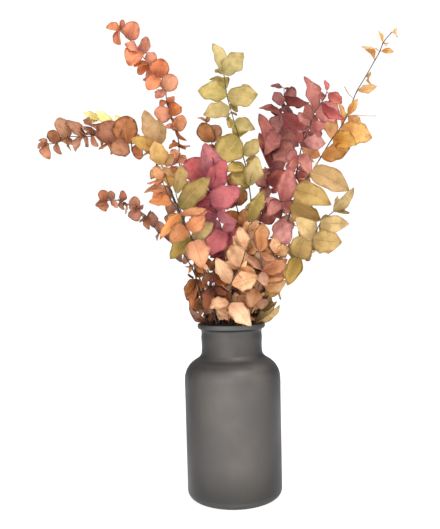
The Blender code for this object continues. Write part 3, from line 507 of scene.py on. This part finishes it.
def spot(across, down, depth):
    """The place, in mm, of what the photograph shows at this pixel, this far behind the axis."""
    right = across - PICTURE_WIDTH / 2
    below = down - PICTURE_HEIGHT / 2
    level_right = right * math.cos(PICTURE_ROLL) - below * math.sin(PICTURE_ROLL) - AXIS_RIGHT
    level_below = right * math.sin(PICTURE_ROLL) + below * math.cos(PICTURE_ROLL) - HORIZON_BELOW
    scale = (LENS_DISTANCE + depth) / FOCAL_PIXELS
    return Vector((level_right * scale, depth, LENS_HEIGHT - level_below * scale))


def foot_of(mouth):
    """Where a stem that passes the mouth here stands on the bottle's floor."""
    foot = Matrix.Rotation(FOOT_TURN, 3, "Z") @ Vector((mouth.x, mouth.y, 0)) * FOOT_SPREAD
    tilt = math.atan2(math.hypot(mouth.x - foot.x, mouth.y - foot.y), mouth.z - FLOOR_GLASS)
    foot.z = FLOOR_GLASS + SEAT_GAP + FOOT_RADIUS * math.sin(tilt)
    return foot


def stem_points(knots):
    """A stem's places in mm: its foot, where it enters the neck, the bottle's mouth, then each knot."""
    places = [spot(*knot[:3]) for knot in knots]
    foot = foot_of(places[0])
    return [foot, places[0].lerp(foot, NECK_SHARE)] + places


def twig_mesh(name, route, radii, resolution):
    """A round twig's mesh along a route in mm, with these radii in mm at its points and closed ends."""
    curve = bpy.data.curves.new(name, "CURVE")
    curve.dimensions = "3D"
    curve.bevel_depth = MM
    curve.bevel_resolution = resolution
    curve.use_fill_caps = True
    spline = curve.splines.new("POLY")
    spline.points.add(len(route) - 1)
    for point, place, radius in zip(spline.points, route, radii):
        point.co = (*(place * MM), 1)
        point.radius = radius
    tube = stand(name, curve)
    mesh = bpy.data.meshes.new_from_object(tube.evaluated_get(bpy.context.evaluated_depsgraph_get()))
    bpy.data.objects.remove(tube)
    bpy.data.curves.remove(curve)
    ends = bmesh.new()
    ends.from_mesh(mesh)
    bmesh.ops.remove_doubles(ends, verts=ends.verts, dist=WELD)
    bmesh.ops.recalc_face_normals(ends, faces=ends.faces)
    ends.to_mesh(mesh)
    ends.free()
    mesh.name = name
    return mesh


def stem_mesh(name, knots, step, swell, resolution):
    """A stem's mesh, tapering from its foot to its tip, and thicker by swell at its knots."""
    points = stem_points(knots)
    route = smooth_route(points, step)
    at_knots = {tuple(place) for place in points[3:]}
    radii = []
    for i, place in enumerate(route):
        radius = FOOT_RADIUS + (TIP_RADIUS - FOOT_RADIUS) * i / (len(route) - 1)
        radii.append(radius * (swell if tuple(place) in at_knots else 1.0))
    return twig_mesh(name, route, radii, resolution)


bark, tree, shader = new_material("bark")
here = add_node(tree, "TexCoord", {}).outputs["Object"]
stretched = add_node(tree, "Mapping", {"Vector": here, "Scale": (1.0, 1.0, 0.16)}).outputs[0]
streaks = noise(tree, stretched, 900.0, 4.0, 0.6)
patches = noise(tree, here, 32.0, 2.0)
twig = mix(tree, span(tree, patches, 0.35, 0.65), shade(54, 40, 34), shade(90, 68, 54))
twig = mix(tree, span(tree, streaks, 0.45, 0.7, 0.0, 0.7), twig, shade(34, 24, 22))
finish(tree, shader, twig, span(tree, streaks, 0.3, 0.7, 0.6, 0.8), streaks, 0.5, 0.0004)

for name, (_, _, knots) in BRANCHES.items():
    mesh = stem_mesh("stem_" + name, knots, STEM_STEP, KNOT_SWELL, ROUND_TWIG)
    mesh.shade_smooth()
    mesh.set_sharp_from_angle(angle=math.radians(50))
    mesh.materials.append(bark)
    stem = stand("stem_" + name, mesh)
    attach(stem, "root")
    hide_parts("branch_" + name)

# Two leaves of the amber branch have dropped off. Their bare stalks, pale and dry, are still grown on its
# stem, one out to the right and one up to the left.

# Each place on a stalk is (across, down, depth, radius in mm).
BARE_STALKS = {
    "bare_stalk_right": [
        (347, 116, -11, 0.95), (354, 115, -14, 0.8), (364, 115.8, -17, 0.5), (376, 116, -20, 0.4),
    ],
    "bare_stalk_left": [
        (353.8, 99, -13, 0.4), (349, 94.5, -13.5, 0.5), (346.5, 90.5, -14, 0.85), (344.5, 86.5, -15, 0.6),
    ],
}

dry_stalk, tree, shader = new_material("dry_stalk", Roughness=0.75)
here = add_node(tree, "TexCoord", {}).outputs["Object"]
drying = span(tree, noise(tree, here, 120.0, 2.0), 0.35, 0.65)
tone = mix(tree, drying, shade(168, 128, 92), shade(206, 168, 124))
tree.links.new(tone, shader.inputs["Base Color"])

for name, places in BARE_STALKS.items():
    radii = [place[3] for place in places]
    mesh = twig_mesh(name, [spot(*place[:3]) for place in places], radii, ROUND_TWIG)
    mesh.shade_smooth()
    mesh.materials.append(dry_stalk)
    stalk = stand(name, mesh)
    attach(stalk, "root")

# The leaves are thin, leathery and dyed, each on its own short stalk at a knot of its stem. They have
# dried creased along the midrib, with curled edges. Each is bent clear of the other branches.

# Sizes are in mm. Grids are the faces along and across a small and a large blade.
BLADE_THICK = 0.7
FINE_THICK = 0.45
ROOT_SINK = 0.4
CLEARANCE = 0.45
SMALL_LEAF = 40.0
SMALL_STATIONS = 0.22, 0.68
LARGE_STATIONS = 0.14, 0.46, 0.8
SMALL_GRID = 9, 6
LARGE_GRID = 14, 8
STALK_RADII = 0.75, 0.45
STALK_SINK = 0.8
STALK_SHARE = 0.2
BOX_MARGIN = 0.0016

# Each kind of blade: where its outline swells (base and tip powers), width by length, stalk in mm, fold
# along the midrib and arch along the length in degrees, ruffle of its edge, and how far its base lobes
# reach back by its length.
KINDS = {
    "round": dict(base=0.50, tip=0.58, wide=0.98, stalk=0.0, fold=10, arch=24, ruffle=0.07, heart=0.05),
    "ovate": dict(base=0.62, tip=0.86, wide=0.74, stalk=4.5, fold=16, arch=26, ruffle=0.15, heart=0.10),
    "broad": dict(base=0.46, tip=0.80, wide=0.92, stalk=3.5, fold=12, arch=22, ruffle=0.14, heart=0.12),
}


def half_width(kind, s):
    """Half of a blade's width at a share of its length, by its widest half."""
    swell = kind["base"] / (kind["base"] + kind["tip"])
    return (s / swell) ** kind["base"] * ((1 - s) / (1 - swell)) ** kind["tip"]


def blade_height(kind, along, across, length):
    """How far a place on a blade rises from its flat: the fold at the midrib and the arch."""
    fold = abs(across) * math.tan(math.radians(kind["fold"]))
    return fold - length * math.radians(kind["arch"]) * (along / length) ** 2 / 2


def plain_blade(kind, length, wide, grow=0.0):
    """The CAD's blade: its corners in mm, its triangles, and those away from its root."""
    swell = kind["base"] / (kind["base"] + kind["tip"])
    stalk = min(kind["stalk"], STALK_SHARE * length)
    blade = length - stalk
    stations = SMALL_STATIONS if length < SMALL_LEAF else LARGE_STATIONS
    left = [(stalk + s * blade, half_width(kind, s) * wide * blade / 2) for s in stations]
    right = [(along, -across) for along, across in reversed(left)]
    outline = [(-ROOT_SINK, 0.0)] + left + [(length, 0.0)] + right
    middle = stalk + swell * blade
    thick = BLADE_THICK / 2 + grow
    corners = []
    for along, across in outline + [(middle, 0.0)]:
        rise = blade_height(kind, along, across, length)
        along += grow if along > middle else -grow
        across += math.copysign(grow, across) if across else 0.0
        corners.append(Vector((along, across, rise)))
    count = len(corners)
    rim = count - 1
    top = [corner + Vector((0, 0, thick)) for corner in corners]
    bottom = [corner - Vector((0, 0, thick)) for corner in corners]
    faces = []
    for fan in [(0, rim - 1, 1), (rim, 1, rim - 1)] + [(rim, i + 1, i) for i in range(1, rim - 1)]:
        faces.append(fan)
        faces.append(tuple(corner + count for corner in reversed(fan)))
    for i in range(rim):
        j = (i + 1) % rim
        faces.append((i, j, j + count))
        faces.append((i, j + count, i + count))
    root = {0, count}
    free_faces = [face for face in faces if not root.intersection(face)]
    return top + bottom, faces, free_faces


def leaf_frame(knot, heading, lean, roll):
    """The matrix that sets a blade on its knot: pointing that way, leaning and rolled."""
    toward = Vector((0, -1, 0))
    along = Vector((math.cos(heading) * math.cos(lean), -math.sin(lean), math.sin(heading) * math.cos(lean)))
    normal = (toward - along * toward.dot(along)).normalized()
    normal = Matrix.Rotation(roll, 3, along) @ normal
    across = normal.cross(along)
    return Matrix.Translation(knot) @ Matrix((along, across, normal)).transposed().to_4x4()


def boxed(corners, faces, free_faces):
    """A piece's box and its search trees, of all its faces and of those away from its own root."""
    low = [min(corner[i] for corner in corners) for i in range(3)]
    high = [max(corner[i] for corner in corners) for i in range(3)]
    return low, high, BVHTree.FromPolygons(corners, faces), BVHTree.FromPolygons(corners, free_faces)


def boxed_mesh(mesh):
    """A finished mesh in mm as such a piece."""
    mesh.calc_loop_triangles()
    faces = [tuple(triangle.vertices) for triangle in mesh.loop_triangles]
    return boxed([vertex.co / MM for vertex in mesh.vertices], faces, faces)


def crossings(standing, branch, piece):
    """How many standing pieces of its own branch a piece crosses, or None if it crosses another's."""
    low, high, whole, free = piece
    crossed = 0
    for other, (other_low, other_high, other_whole, other_free) in standing:
        if any(low[i] > other_high[i] or high[i] < other_low[i] for i in range(3)):
            continue
        if other != branch:
            if whole.overlap(other_whole):
                return None
        elif free.overlap(other_free):
            crossed += 1
    return crossed


# How a leaf is bent clear: changes of lean and of roll in degrees and of length, the least first.
BEND_LEANS = range(-48, 49, 8)
BEND_ROLLS = range(-45, 46, 15)
BEND_SIZES = 1, 0.9, 0.8
ROLL_COST = 0.6
SIZE_COST = 160
BENDS = sorted(
    ((lean, roll, size) for lean in BEND_LEANS for roll in BEND_ROLLS for size in BEND_SIZES),
    key=lambda bend: abs(bend[0]) + ROLL_COST * abs(bend[1]) + SIZE_COST * (1 - bend[2]),
)


def settle(standing, branch, kind, knot, leaf):
    """The place and size at which a leaf lies clear of the other branches, or None."""
    heading, length, lean, roll, wide = leaf
    best = None
    for bend_lean, bend_roll, size in BENDS:
        place = leaf_frame(knot, heading, math.radians(lean + bend_lean), math.radians(roll + bend_roll))
        corners, faces, free_faces = plain_blade(kind, length * size, wide, CLEARANCE)
        piece = boxed([place @ corner for corner in corners], faces, free_faces)
        crossed = crossings(standing, branch, piece)
        if crossed is not None and (best is None or crossed < best[0]):
            best = crossed, place, length * size
        if crossed == 0:
            break
    if best is None:
        return None
    _, place, length = best
    corners, faces, free_faces = plain_blade(kind, length, wide)
    standing.append((branch, boxed([place @ corner for corner in corners], faces, free_faces)))
    return place, length, wide


# A leaf behind a knot: how often it grows, its turn from the stem, lean and roll in degrees, and its
# length in mm or by the knot's other leaves.
BEHIND_SHARE = 0.32
BEHIND_TURN = 25, 75
BEHIND_LEAN = 30, 60
BEHIND_ROLL = -25, 25
BEHIND_LENGTH = 26, 34
BEHIND_SIZE = 0.85, 1.05


def turned_from_stem(places, i, turn, dice):
    """A heading to one side or the other of the stem's own at a knot."""
    onward = places[min(i + 1, len(places) - 1)] - places[i - 1]
    side = math.radians(dice.choice((-1, 1)) * dice.uniform(*turn))
    return math.atan2(onward.z, onward.x) + side


def leaves_of(kind, knots, dice):
    """Each leaf of a branch as (knot place, share of the way up, heading, length, lean, roll, width)."""
    found = []
    places = [spot(*knot[:3]) for knot in knots]
    for i, (across, down, depth, *leaves) in enumerate(knots):
        climb = i / (len(knots) - 1)
        lengths = []
        for tip_across, tip_down, lean, roll, *width in leaves:
            reach = spot(tip_across, tip_down, depth) - places[i]
            length = reach.length / math.cos(math.radians(lean))
            lengths.append(length)
            heading = math.atan2(reach.z, reach.x)
            found.append((places[i], climb, (heading, length, lean, roll, *(width or [kind["wide"]]))))
        if i == 0 or (lengths and dice.random() > BEHIND_SHARE) or not (lengths or i > 1):
            continue
        # A knot's other leaf grows behind the stem, where the photograph doesn't show it.
        heading = turned_from_stem(places, i, BEHIND_TURN, dice)
        length = sum(lengths) / len(lengths) if lengths else dice.uniform(*BEHIND_LENGTH)
        length *= dice.uniform(*BEHIND_SIZE)
        leaf = heading, length, -dice.uniform(*BEHIND_LEAN), dice.uniform(*BEHIND_ROLL), kind["wide"]
        found.append((places[i], climb, leaf))
    return found


# A filler leaf: its turn from the stem at the low knots and above them, lean and roll in degrees, length in
# mm, width by its kind's, and how far down from the lowest knot, or from another, it may grow.
LOW_TURN = 20, 110
HIGH_TURN = 20, 80
LOW_KNOTS = 3
FILLER_LEAN = -65, -12
FILLER_ROLL = -40, 40
FILLER_LENGTH = 24, 38
FILLER_WIDTH = 0.8, 1.05
LOWEST_DROP = 0.9
FILLER_DROP = 0.6
LOWEST_EXTRA = 3
FILLED_SHARE = 0.85


def fillers_of(kind, knots, count, dice):
    """The smaller leaves that fill a branch out between its placed ones, most of them behind its stem."""
    found = []
    places = [spot(*knot[:3]) for knot in knots]
    for i in range(1, round(len(knots) * FILLED_SHARE)):
        turn = LOW_TURN if i < LOW_KNOTS else HIGH_TURN
        drop = LOWEST_DROP if i == 1 else FILLER_DROP
        for _ in range(count + LOWEST_EXTRA if i == 1 else count):
            heading = turned_from_stem(places, i, turn, dice)
            length = dice.uniform(*FILLER_LENGTH)
            start = places[i].lerp(places[i - 1], dice.uniform(0.0, drop))
            lean, roll = dice.uniform(*FILLER_LEAN), dice.uniform(*FILLER_ROLL)
            leaf = heading, length, lean, roll, kind["wide"] * dice.uniform(*FILLER_WIDTH)
            found.append((start, i / (len(places) - 1), leaf))
    return found


def keep_inside(place):
    """A place in metres, held inside the CAD model's box."""
    low, high = cad_box
    return Vector([min(max(place[i], low[i] + BOX_MARGIN), high[i] - BOX_MARGIN) for i in range(3)])


def grow_leaf(foliage, kind, place, length, wide, climb, dice):
    """Adds one dried leaf to a branch's foliage: its blade as a creased and curled sheet, and its stalk."""
    guide = foliage.loops.layers.uv["leaf"]
    columns, rows = SMALL_GRID if length < SMALL_LEAF else LARGE_GRID
    grid = bmesh.ops.create_grid(foliage, x_segments=columns, y_segments=rows, size=1.0)
    stalk = min(kind["stalk"], STALK_SHARE * length)
    blade = length - stalk
    widest = wide * blade / 2
    swell = kind["base"] / (kind["base"] + kind["tip"])
    fold = math.tan(math.radians(kind["fold"] + dice.uniform(-6, 20)))
    cup = dice.uniform(-0.40, 0.26) * widest
    tip_curl = dice.uniform(-0.18, 0.12) * blade
    twist = dice.uniform(-0.35, 0.35)
    bow = dice.uniform(-0.06, 0.06) * blade
    waves = dice.uniform(1.0, 2.2)
    ripple = dice.uniform(0.07, 0.2) * widest
    lobes = dice.uniform(1.4, 2.8)
    ruffle = dice.uniform(0.4, 1.0) * kind["ruffle"]
    edge_curl = dice.uniform(-0.12, 0.30) * widest, dice.uniform(-0.12, 0.30) * widest
    halves = dice.uniform(0.84, 1.08), dice.uniform(0.84, 1.08)
    phase = dice.uniform(0, 6.28), dice.uniform(0, 6.28)
    tint = dice.random()
    faces = {face for vertex in grid["verts"] for face in vertex.link_faces}
    shares = {}
    for vertex in grid["verts"]:
        s = (1 - math.cos(math.pi * (vertex.co.x + 1) / 2)) / 2
        shares[vertex] = min(max(s, 0.0), 1.0), vertex.co.y
    for face in faces:
        face.smooth = True
        face[foliage.faces.layers.float["tint"]] = tint
        face[foliage.faces.layers.float["climb"]] = climb
        for loop in face.loops:
            s, v = shares[loop.vert]
            loop[guide].uv = s, (v + 1) / 2
    for vertex, (s, v) in shares.items():
        half = 0 if v > 0 else 1
        side = phase[half]
        lobe = math.sin(2 * math.pi * lobes * s + side)
        edge = halves[half] + ruffle * (lobe + 0.16 * math.sin(6 * math.pi * lobes * s)) * abs(v)
        across = v * half_width(kind, s) * widest * edge
        along = stalk + s * blade - kind["heart"] * blade * abs(v) * max(0.0, 1 - s / 0.3) ** 2
        rise = (math.sqrt(across * across + 0.6) - 0.77) * fold
        rise -= length * math.radians(kind["arch"]) * (along / length) ** 2 / 2
        rise += (cup * v * v + edge_curl[half] * abs(v) ** 5) * half_width(kind, s)
        rise += ripple * math.sin(2 * math.pi * waves * s + 2 * side) * v * v * half_width(kind, s)
        rise += tip_curl * max(0.0, (s - 0.55) / 0.45) ** 2
        turn = twist * (s - swell)
        middle = blade_height(kind, along, 0.0, length)
        lifted = rise - middle
        leaf_across = across * math.cos(turn) - lifted * math.sin(turn) + 4 * bow * s * (1 - s)
        leaf_rise = middle + across * math.sin(turn) + lifted * math.cos(turn) + FINE_THICK / 2
        vertex.co = keep_inside(place @ Vector((along, leaf_across, leaf_rise)) * MM)
    if stalk:
        lying = Matrix.Translation((stalk / 2, 0, -0.05)) @ Matrix.Rotation(math.pi / 2, 4, "Y")
        thick, thin = STALK_RADII
        cone = bmesh.ops.create_cone(
            foliage, cap_ends=True, segments=5, radius1=thick, radius2=thin,
            depth=stalk + 2 * STALK_SINK, matrix=Matrix.Scale(MM, 4) @ place @ lying,
        )
        for face in {face for vertex in cone["verts"] for face in vertex.link_faces}:
            face.smooth = True
            face[foliage.faces.layers.float["tint"]] = tint
            for loop in face.loops:
                loop[guide].uv = 0.02, 0.5
    return faces


LEAF_LAYERS = "tint", "climb", "underside"


def foliage_mesh(name, kind, leaves, dice):
    """A branch's foliage as one mesh."""
    foliage = bmesh.new()
    foliage.loops.layers.uv.new("leaf")
    for layer in LEAF_LAYERS:
        foliage.faces.layers.float.new(layer)
    sheets = set()
    for place, length, wide, climb in leaves:
        sheets |= grow_leaf(foliage, kind, place, length, wide, climb, dice)
    bmesh.ops.remove_doubles(foliage, verts=foliage.verts, dist=0.000005)
    sheets = [face for face in sheets if face.is_valid]
    foliage.normal_update()
    before = set(foliage.faces)
    bmesh.ops.solidify(foliage, geom=sheets, thickness=FINE_THICK * MM)
    underside = foliage.faces.layers.float["underside"]
    for face in foliage.faces:
        if face not in before:
            face[underside] = 1.0
            face.smooth = True
    mesh = bpy.data.meshes.new(name)
    foliage.to_mesh(mesh)
    foliage.free()
    mesh.set_sharp_from_angle(angle=math.radians(60))
    return mesh


# How a dyed leaf is coloured: mottled between two tones and darker towards its base, with painted shade in
# the cup of some leaves, paler ribs, edges browned by drying and darkened further by painted shade where they
# curl, a matt back, and each leaf a little lighter, darker or redder than the next.
colouring = bpy.data.node_groups.new("leaf_colouring", "ShaderNodeTree")
TINTS = "Face", "Young", "Deep", "Edge", "Rib", "Back"
for socket in TINTS:
    colouring.interface.new_socket(socket, in_out="INPUT", socket_type="NodeSocketColor")
colouring.interface.new_socket("Age", in_out="INPUT", socket_type="NodeSocketFloat")
for socket, kind in [("Color", "Color"), ("Roughness", "Float"), ("Height", "Float")]:
    colouring.interface.new_socket(socket, in_out="OUTPUT", socket_type="NodeSocket" + kind)
tree = colouring
given = tree.nodes.new("NodeGroupInput").outputs
here = add_node(tree, "TexCoord", {}).outputs["Object"]
on_leaf = add_node(tree, "SeparateXYZ", {0: add_node(tree, "UVMap", {}, uv_map="leaf").outputs[0]}).outputs
along = on_leaf[0]
tint, climb, underside = (
    add_node(tree, "Attribute", {}, attribute_name=layer).outputs["Fac"] for layer in LEAF_LAYERS
)
other_tint = work(tree, "FRACT", times(tree, tint, 7.31))
third_tint = work(tree, "FRACT", times(tree, tint, 23.7))
wander = noise(tree, here, 170.0, 2.0)
from_rib = work(tree, "ABSOLUTE", work(tree, "MULTIPLY_ADD", on_leaf[1], 2.0, -1.0))
rib_width = span(tree, along, 0.0, 1.0, 0.06, 0.016)
midrib = work(tree, "SUBTRACT", 1.0, span(tree, from_rib, times(tree, rib_width, 0.35), rib_width))
comb = work(tree, "MULTIPLY_ADD", along, 8.0, times(tree, from_rib, -2.3))
comb = work(tree, "ADD", comb, times(tree, wander, 0.9))
away = work(tree, "ABSOLUTE", work(tree, "SUBTRACT", work(tree, "FRACT", comb), 0.5))
veins = times(tree, span(tree, away, 0.07, 0.0), span(tree, from_rib, 1.0, 0.3))
mottle = noise(tree, here, 95.0, 4.0, 0.6)
specks = noise(tree, here, 620.0, 3.0, 0.65)
# The darker rim is partly the browning of the dried edge and partly painted shade where the edge curls.
rim = span(tree, work(tree, "MULTIPLY_ADD", mottle, 0.5, work(tree, "SUBTRACT", from_rib, 0.25)), 0.72, 1.0)
tip_rim = span(tree, work(tree, "MULTIPLY_ADD", mottle, 0.3, along), 0.95, 1.2)
rim = work(tree, "MAXIMUM", rim, tip_rim)
colour = mix(tree, times(tree, climb, 0.9), given["Face"], given["Young"])
# Painted shade: some leaves are darker along the middle and base of their cup, where a cupped blade lies in
# shade.
cup_shade = times(tree, span(tree, along, 0.85, 0.3), span(tree, from_rib, 0.9, 0.15))
cup_shade = times(tree, cup_shade, span(tree, third_tint, 0.4, 1.0, 0.0, 0.7))
rim = times(tree, rim, work(tree, "MULTIPLY_ADD", third_tint, 0.5, 0.5))
blotch = span(tree, noise(tree, here, 210.0, 3.0, 0.7), 0.62, 0.72)
blotch = times(tree, blotch, times(tree, given["Age"], other_tint))
for mask, dye in [
    (span(tree, mottle, 0.38, 0.72, 0.0, 0.62), "Deep"), (span(tree, along, 0.5, 0.0, 0.0, 0.7), "Deep"),
    (cup_shade, "Deep"), (rim, "Edge"), (blotch, "Edge"), (times(tree, veins, 0.22), "Deep"),
    (times(tree, midrib, 0.5), "Rib"), (times(tree, underside, 0.75), "Back"),
]:
    colour = mix(tree, mask, colour, given[dye])
value = work(tree, "MULTIPLY_ADD", other_tint, 0.38, 0.78)
hue = work(tree, "MULTIPLY_ADD", tint, 0.012, 0.495)
saturation = work(tree, "MULTIPLY_ADD", third_tint, 0.22, 0.88)
jitter = {"Color": colour, "Hue": hue, "Saturation": saturation, "Value": value}
colour = add_node(tree, "HueSaturation", jitter).outputs[0]
speckled = span(tree, specks, 0.35, 0.7, 1.06, 0.90)
colour = add_node(tree, "HueSaturation", {"Color": colour, "Value": speckled}).outputs[0]
relief = work(tree, "MULTIPLY_ADD", veins, -0.35, times(tree, specks, 0.25))
relief = work(tree, "ADD", relief, times(tree, midrib, -0.9))
relief = work(tree, "ADD", relief, times(tree, noise(tree, here, 260.0, 2.0), 0.9))
leaf_out = tree.nodes.new("NodeGroupOutput")
tree.links.new(colour, leaf_out.inputs["Color"])
tree.links.new(span(tree, mottle, 0.3, 0.7, 0.58, 0.78), leaf_out.inputs["Roughness"])
tree.links.new(relief, leaf_out.inputs["Height"])

# Each branch's dye: the leaf's face, its young leaves, its deeper tone (for its mottling, veins and base, and
# the painted shade in its cup), its edges (browned, and partly painted shade), its ribs and its back, and how
# blotched it has dried.
DYES = {
    "lemon": ((252, 236, 168), (254, 240, 176), (226, 200, 120), (206, 166, 78), (236, 212, 120),
        (246, 226, 146), 0.2),
    "orange_crown": ((220, 142, 100), (228, 142, 98), (156, 84, 54), (128, 64, 40),
        (226, 154, 112), (208, 140, 106), 0.4),
    "burgundy": ((192, 116, 100), (150, 84, 80), (112, 58, 58), (86, 44, 42), (172, 106, 100),
        (176, 120, 116), 0.5),
    "rust": ((214, 156, 100), (206, 142, 92), (130, 68, 44), (84, 42, 26), (190, 114, 78),
        (164, 98, 72), 0.5),
    "brown_arm": ((188, 126, 92), (194, 130, 92), (134, 78, 52), (90, 48, 32), (204, 148, 112),
        (178, 126, 98), 0.5),
    "lime": ((202, 176, 110), (206, 180, 110), (146, 130, 70), (132, 110, 60), (210, 194, 128),
        (200, 186, 126), 0.4),
    "rust_curl": ((144, 104, 86), (194, 122, 92), (106, 62, 46), (78, 44, 34), (184, 130, 104),
        (156, 108, 88), 0.6),
    "amber": ((222, 162, 108), (238, 204, 128), (188, 122, 68), (160, 96, 54), (190, 126, 76),
        (226, 174, 118), 0.3),
    "straw": ((190, 146, 88), (204, 162, 98), (160, 112, 60), (156, 104, 58), (190, 142, 88),
        (228, 188, 136), 0.3),
    "rose": ((216, 150, 138), (206, 121, 111), (140, 70, 68), (116, 54, 52), (200, 126, 118),
        (208, 138, 136), 0.4),
    "pink": ((166, 98, 110), (210, 108, 106), (138, 64, 74), (112, 52, 60), (196, 118, 122),
        (182, 110, 122), 0.3),
    "honey": ((186, 150, 96), (190, 154, 96), (158, 124, 70), (130, 96, 54), (152, 116, 70),
        (202, 172, 120), 0.5),
    "olive": ((182, 150, 92), (188, 152, 92), (132, 116, 60), (116, 92, 48), (210, 190, 130),
        (182, 162, 104), 0.5),
    "umber": ((154, 98, 62), (184, 118, 74), (84, 48, 28), (58, 32, 18), (112, 66, 40), (134, 84, 56), 0.8),
    "tan": ((194, 164, 106), (204, 168, 102), (146, 118, 66), (122, 92, 50), (146, 114, 66),
        (192, 164, 112), 0.6),
    "chestnut": ((134, 78, 48), (148, 88, 56), (72, 40, 24), (50, 28, 18), (100, 58, 36),
        (130, 82, 56), 0.8),
    "orange_left": ((228, 158, 112), (228, 154, 104), (182, 110, 70), (146, 84, 52),
        (174, 106, 70), (222, 158, 116), 0.4),
    "apricot": ((194, 144, 110), (202, 150, 114), (158, 100, 68), (122, 74, 48), (160, 102, 72),
        (208, 152, 116), 0.5),
    "fawn": ((236, 180, 132), (244, 188, 140), (152, 102, 70), (92, 56, 38), (152, 102, 72),
        (192, 142, 108), 0.6),
    "cocoa": ((134, 84, 58), (148, 94, 64), (66, 38, 24), (46, 26, 18), (98, 58, 40), (124, 80, 56), 0.8),
    "cream": ((226, 184, 140), (232, 190, 144), (192, 136, 94), (156, 104, 68), (186, 132, 92),
        (234, 192, 150), 0.4),
    "peach": ((236, 188, 142), (238, 192, 146), (196, 132, 90), (150, 94, 58), (180, 120, 82),
        (236, 186, 142), 0.4),
}


def settled_leaves(standing, branch, kind, leaves):
    """Those of a branch's leaves that lie clear, as (place, length, width, share of the way up)."""
    found = []
    for knot, climb, leaf in leaves:
        settled = settle(standing, branch, kind, knot, leaf)
        if settled:
            found.append((*settled, climb))
    return found


FILLER_SEED = 40
SHAPE_SEED = 100
standing = [("bottle", boxed_mesh(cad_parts["bottle"].data))]
for name, (_, _, knots) in BRANCHES.items():
    plain_stem = stem_mesh(name, knots, CAD_STEM_STEP, 1.0, 0)
    standing.append((name, boxed_mesh(plain_stem)))
    bpy.data.meshes.remove(plain_stem)
grown = {}
for seed, (name, (kind_name, _, knots)) in enumerate(reversed(BRANCHES.items())):
    kind = KINDS[kind_name]
    grown[name] = settled_leaves(standing, name, kind, leaves_of(kind, knots, random.Random(seed)))
for seed, (name, (kind_name, count, knots)) in enumerate(reversed(BRANCHES.items())):
    kind = KINDS[kind_name]
    fillers = fillers_of(kind, knots, count, random.Random(FILLER_SEED + seed))
    grown[name] += settled_leaves(standing, name, kind, fillers)
for seed, (name, leaves) in enumerate(grown.items()):
    kind = KINDS[BRANCHES[name][0]]
    mesh = foliage_mesh("leaves_" + name, kind, leaves, random.Random(SHAPE_SEED + seed))
    dyed, tree, shader = new_material(name + "_leaf", Specular_IOR_Level=0.22)
    *tints, age = DYES[name]
    colours = tree.nodes.new("ShaderNodeGroup")
    colours.node_tree = colouring
    for socket, tint in zip(TINTS, tints):
        colours.inputs[socket].default_value = shade(*tint)
    colours.inputs["Age"].default_value = age
    finish(tree, shader, *colours.outputs, 0.6, 0.0008)
    mesh.materials.append(dyed)
    foliage = stand("leaves_" + name, mesh)
    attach(foliage, "root")
    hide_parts("branch_" + name)

# The bottle stands on a plain white floor in a white room, under a large soft light high on the right
# and a weaker one low at the front left. The camera is level, at the photograph's distance and roll.

WHITE = 1.0, 1.0, 1.0, 1.0
FLOOR_GLOW = 0.75
ROOM_LIGHT = 0.42
ROOM_SEEN = 1.05
FLOOR_SIZE = 6.0
LIT_MIDDLE = Vector((0, 0, 0.4))

white, tree, shader = new_material("white_floor", Base_Color=(0.92, 0.92, 0.92, 1.0), Roughness=0.9)
shader.inputs["Emission Color"].default_value = WHITE
shader.inputs["Emission Strength"].default_value = FLOOR_GLOW
floor_mesh = bpy.data.meshes.new("floor")
laying = bmesh.new()
bmesh.ops.create_grid(laying, x_segments=1, y_segments=1, size=FLOOR_SIZE)
laying.to_mesh(floor_mesh)
laying.free()
floor_mesh.materials.append(white)
floor = stand("floor", floor_mesh)

room = bpy.data.worlds.new("white_room")
room.use_nodes = True
tree = room.node_tree
seen = tree.nodes["Background"]
lit = add_node(tree, "Background", {"Color": WHITE, "Strength": ROOM_LIGHT})
seen.inputs["Color"].default_value = WHITE
seen.inputs["Strength"].default_value = ROOM_SEEN
from_camera = add_node(tree, "LightPath", {}).outputs["Is Camera Ray"]
either = add_node(tree, "MixShader", {0: from_camera, 1: lit.outputs[0], 2: seen.outputs[0]})
tree.links.new(either.outputs[0], tree.nodes["World Output"].inputs["Surface"])
bpy.context.scene.world = room


def soft_light(name, place, power, size):
    """A large soft light that faces the middle of the bunch."""
    lamp = bpy.data.lights.new(name, "AREA")
    lamp.energy = power
    lamp.size = size
    light = stand(name, lamp)
    light.location = place
    light.rotation_euler = (LIT_MIDDLE - Vector(place)).to_track_quat("-Z", "Y").to_euler()


soft_light("key_light", (0.6, -1.1, 2.0), power=25.0, size=0.7)
soft_light("fill_light", (-0.6, -1.7, 0.5), power=13.0, size=1.1)

lens = bpy.data.cameras.new("camera")
lens.sensor_width = 36.0
lens.lens = lens.sensor_width * FOCAL_PIXELS / PICTURE_HEIGHT
lens.clip_start = 0.01
shift_right = AXIS_RIGHT * math.cos(PICTURE_ROLL) + HORIZON_BELOW * math.sin(PICTURE_ROLL)
shift_down = -AXIS_RIGHT * math.sin(PICTURE_ROLL) + HORIZON_BELOW * math.cos(PICTURE_ROLL)
lens.shift_x = -shift_right / PICTURE_HEIGHT
lens.shift_y = shift_down / PICTURE_HEIGHT
camera = stand("camera", lens)
level = Matrix.Rotation(math.pi / 2, 4, "X") @ Matrix.Rotation(-PICTURE_ROLL, 4, "Z")
camera.matrix_world = Matrix.Translation((0, -LENS_DISTANCE * MM, LENS_HEIGHT * MM)) @ level
bpy.context.scene.camera = camera
bpy.context.scene.view_settings.view_transform = "Standard"
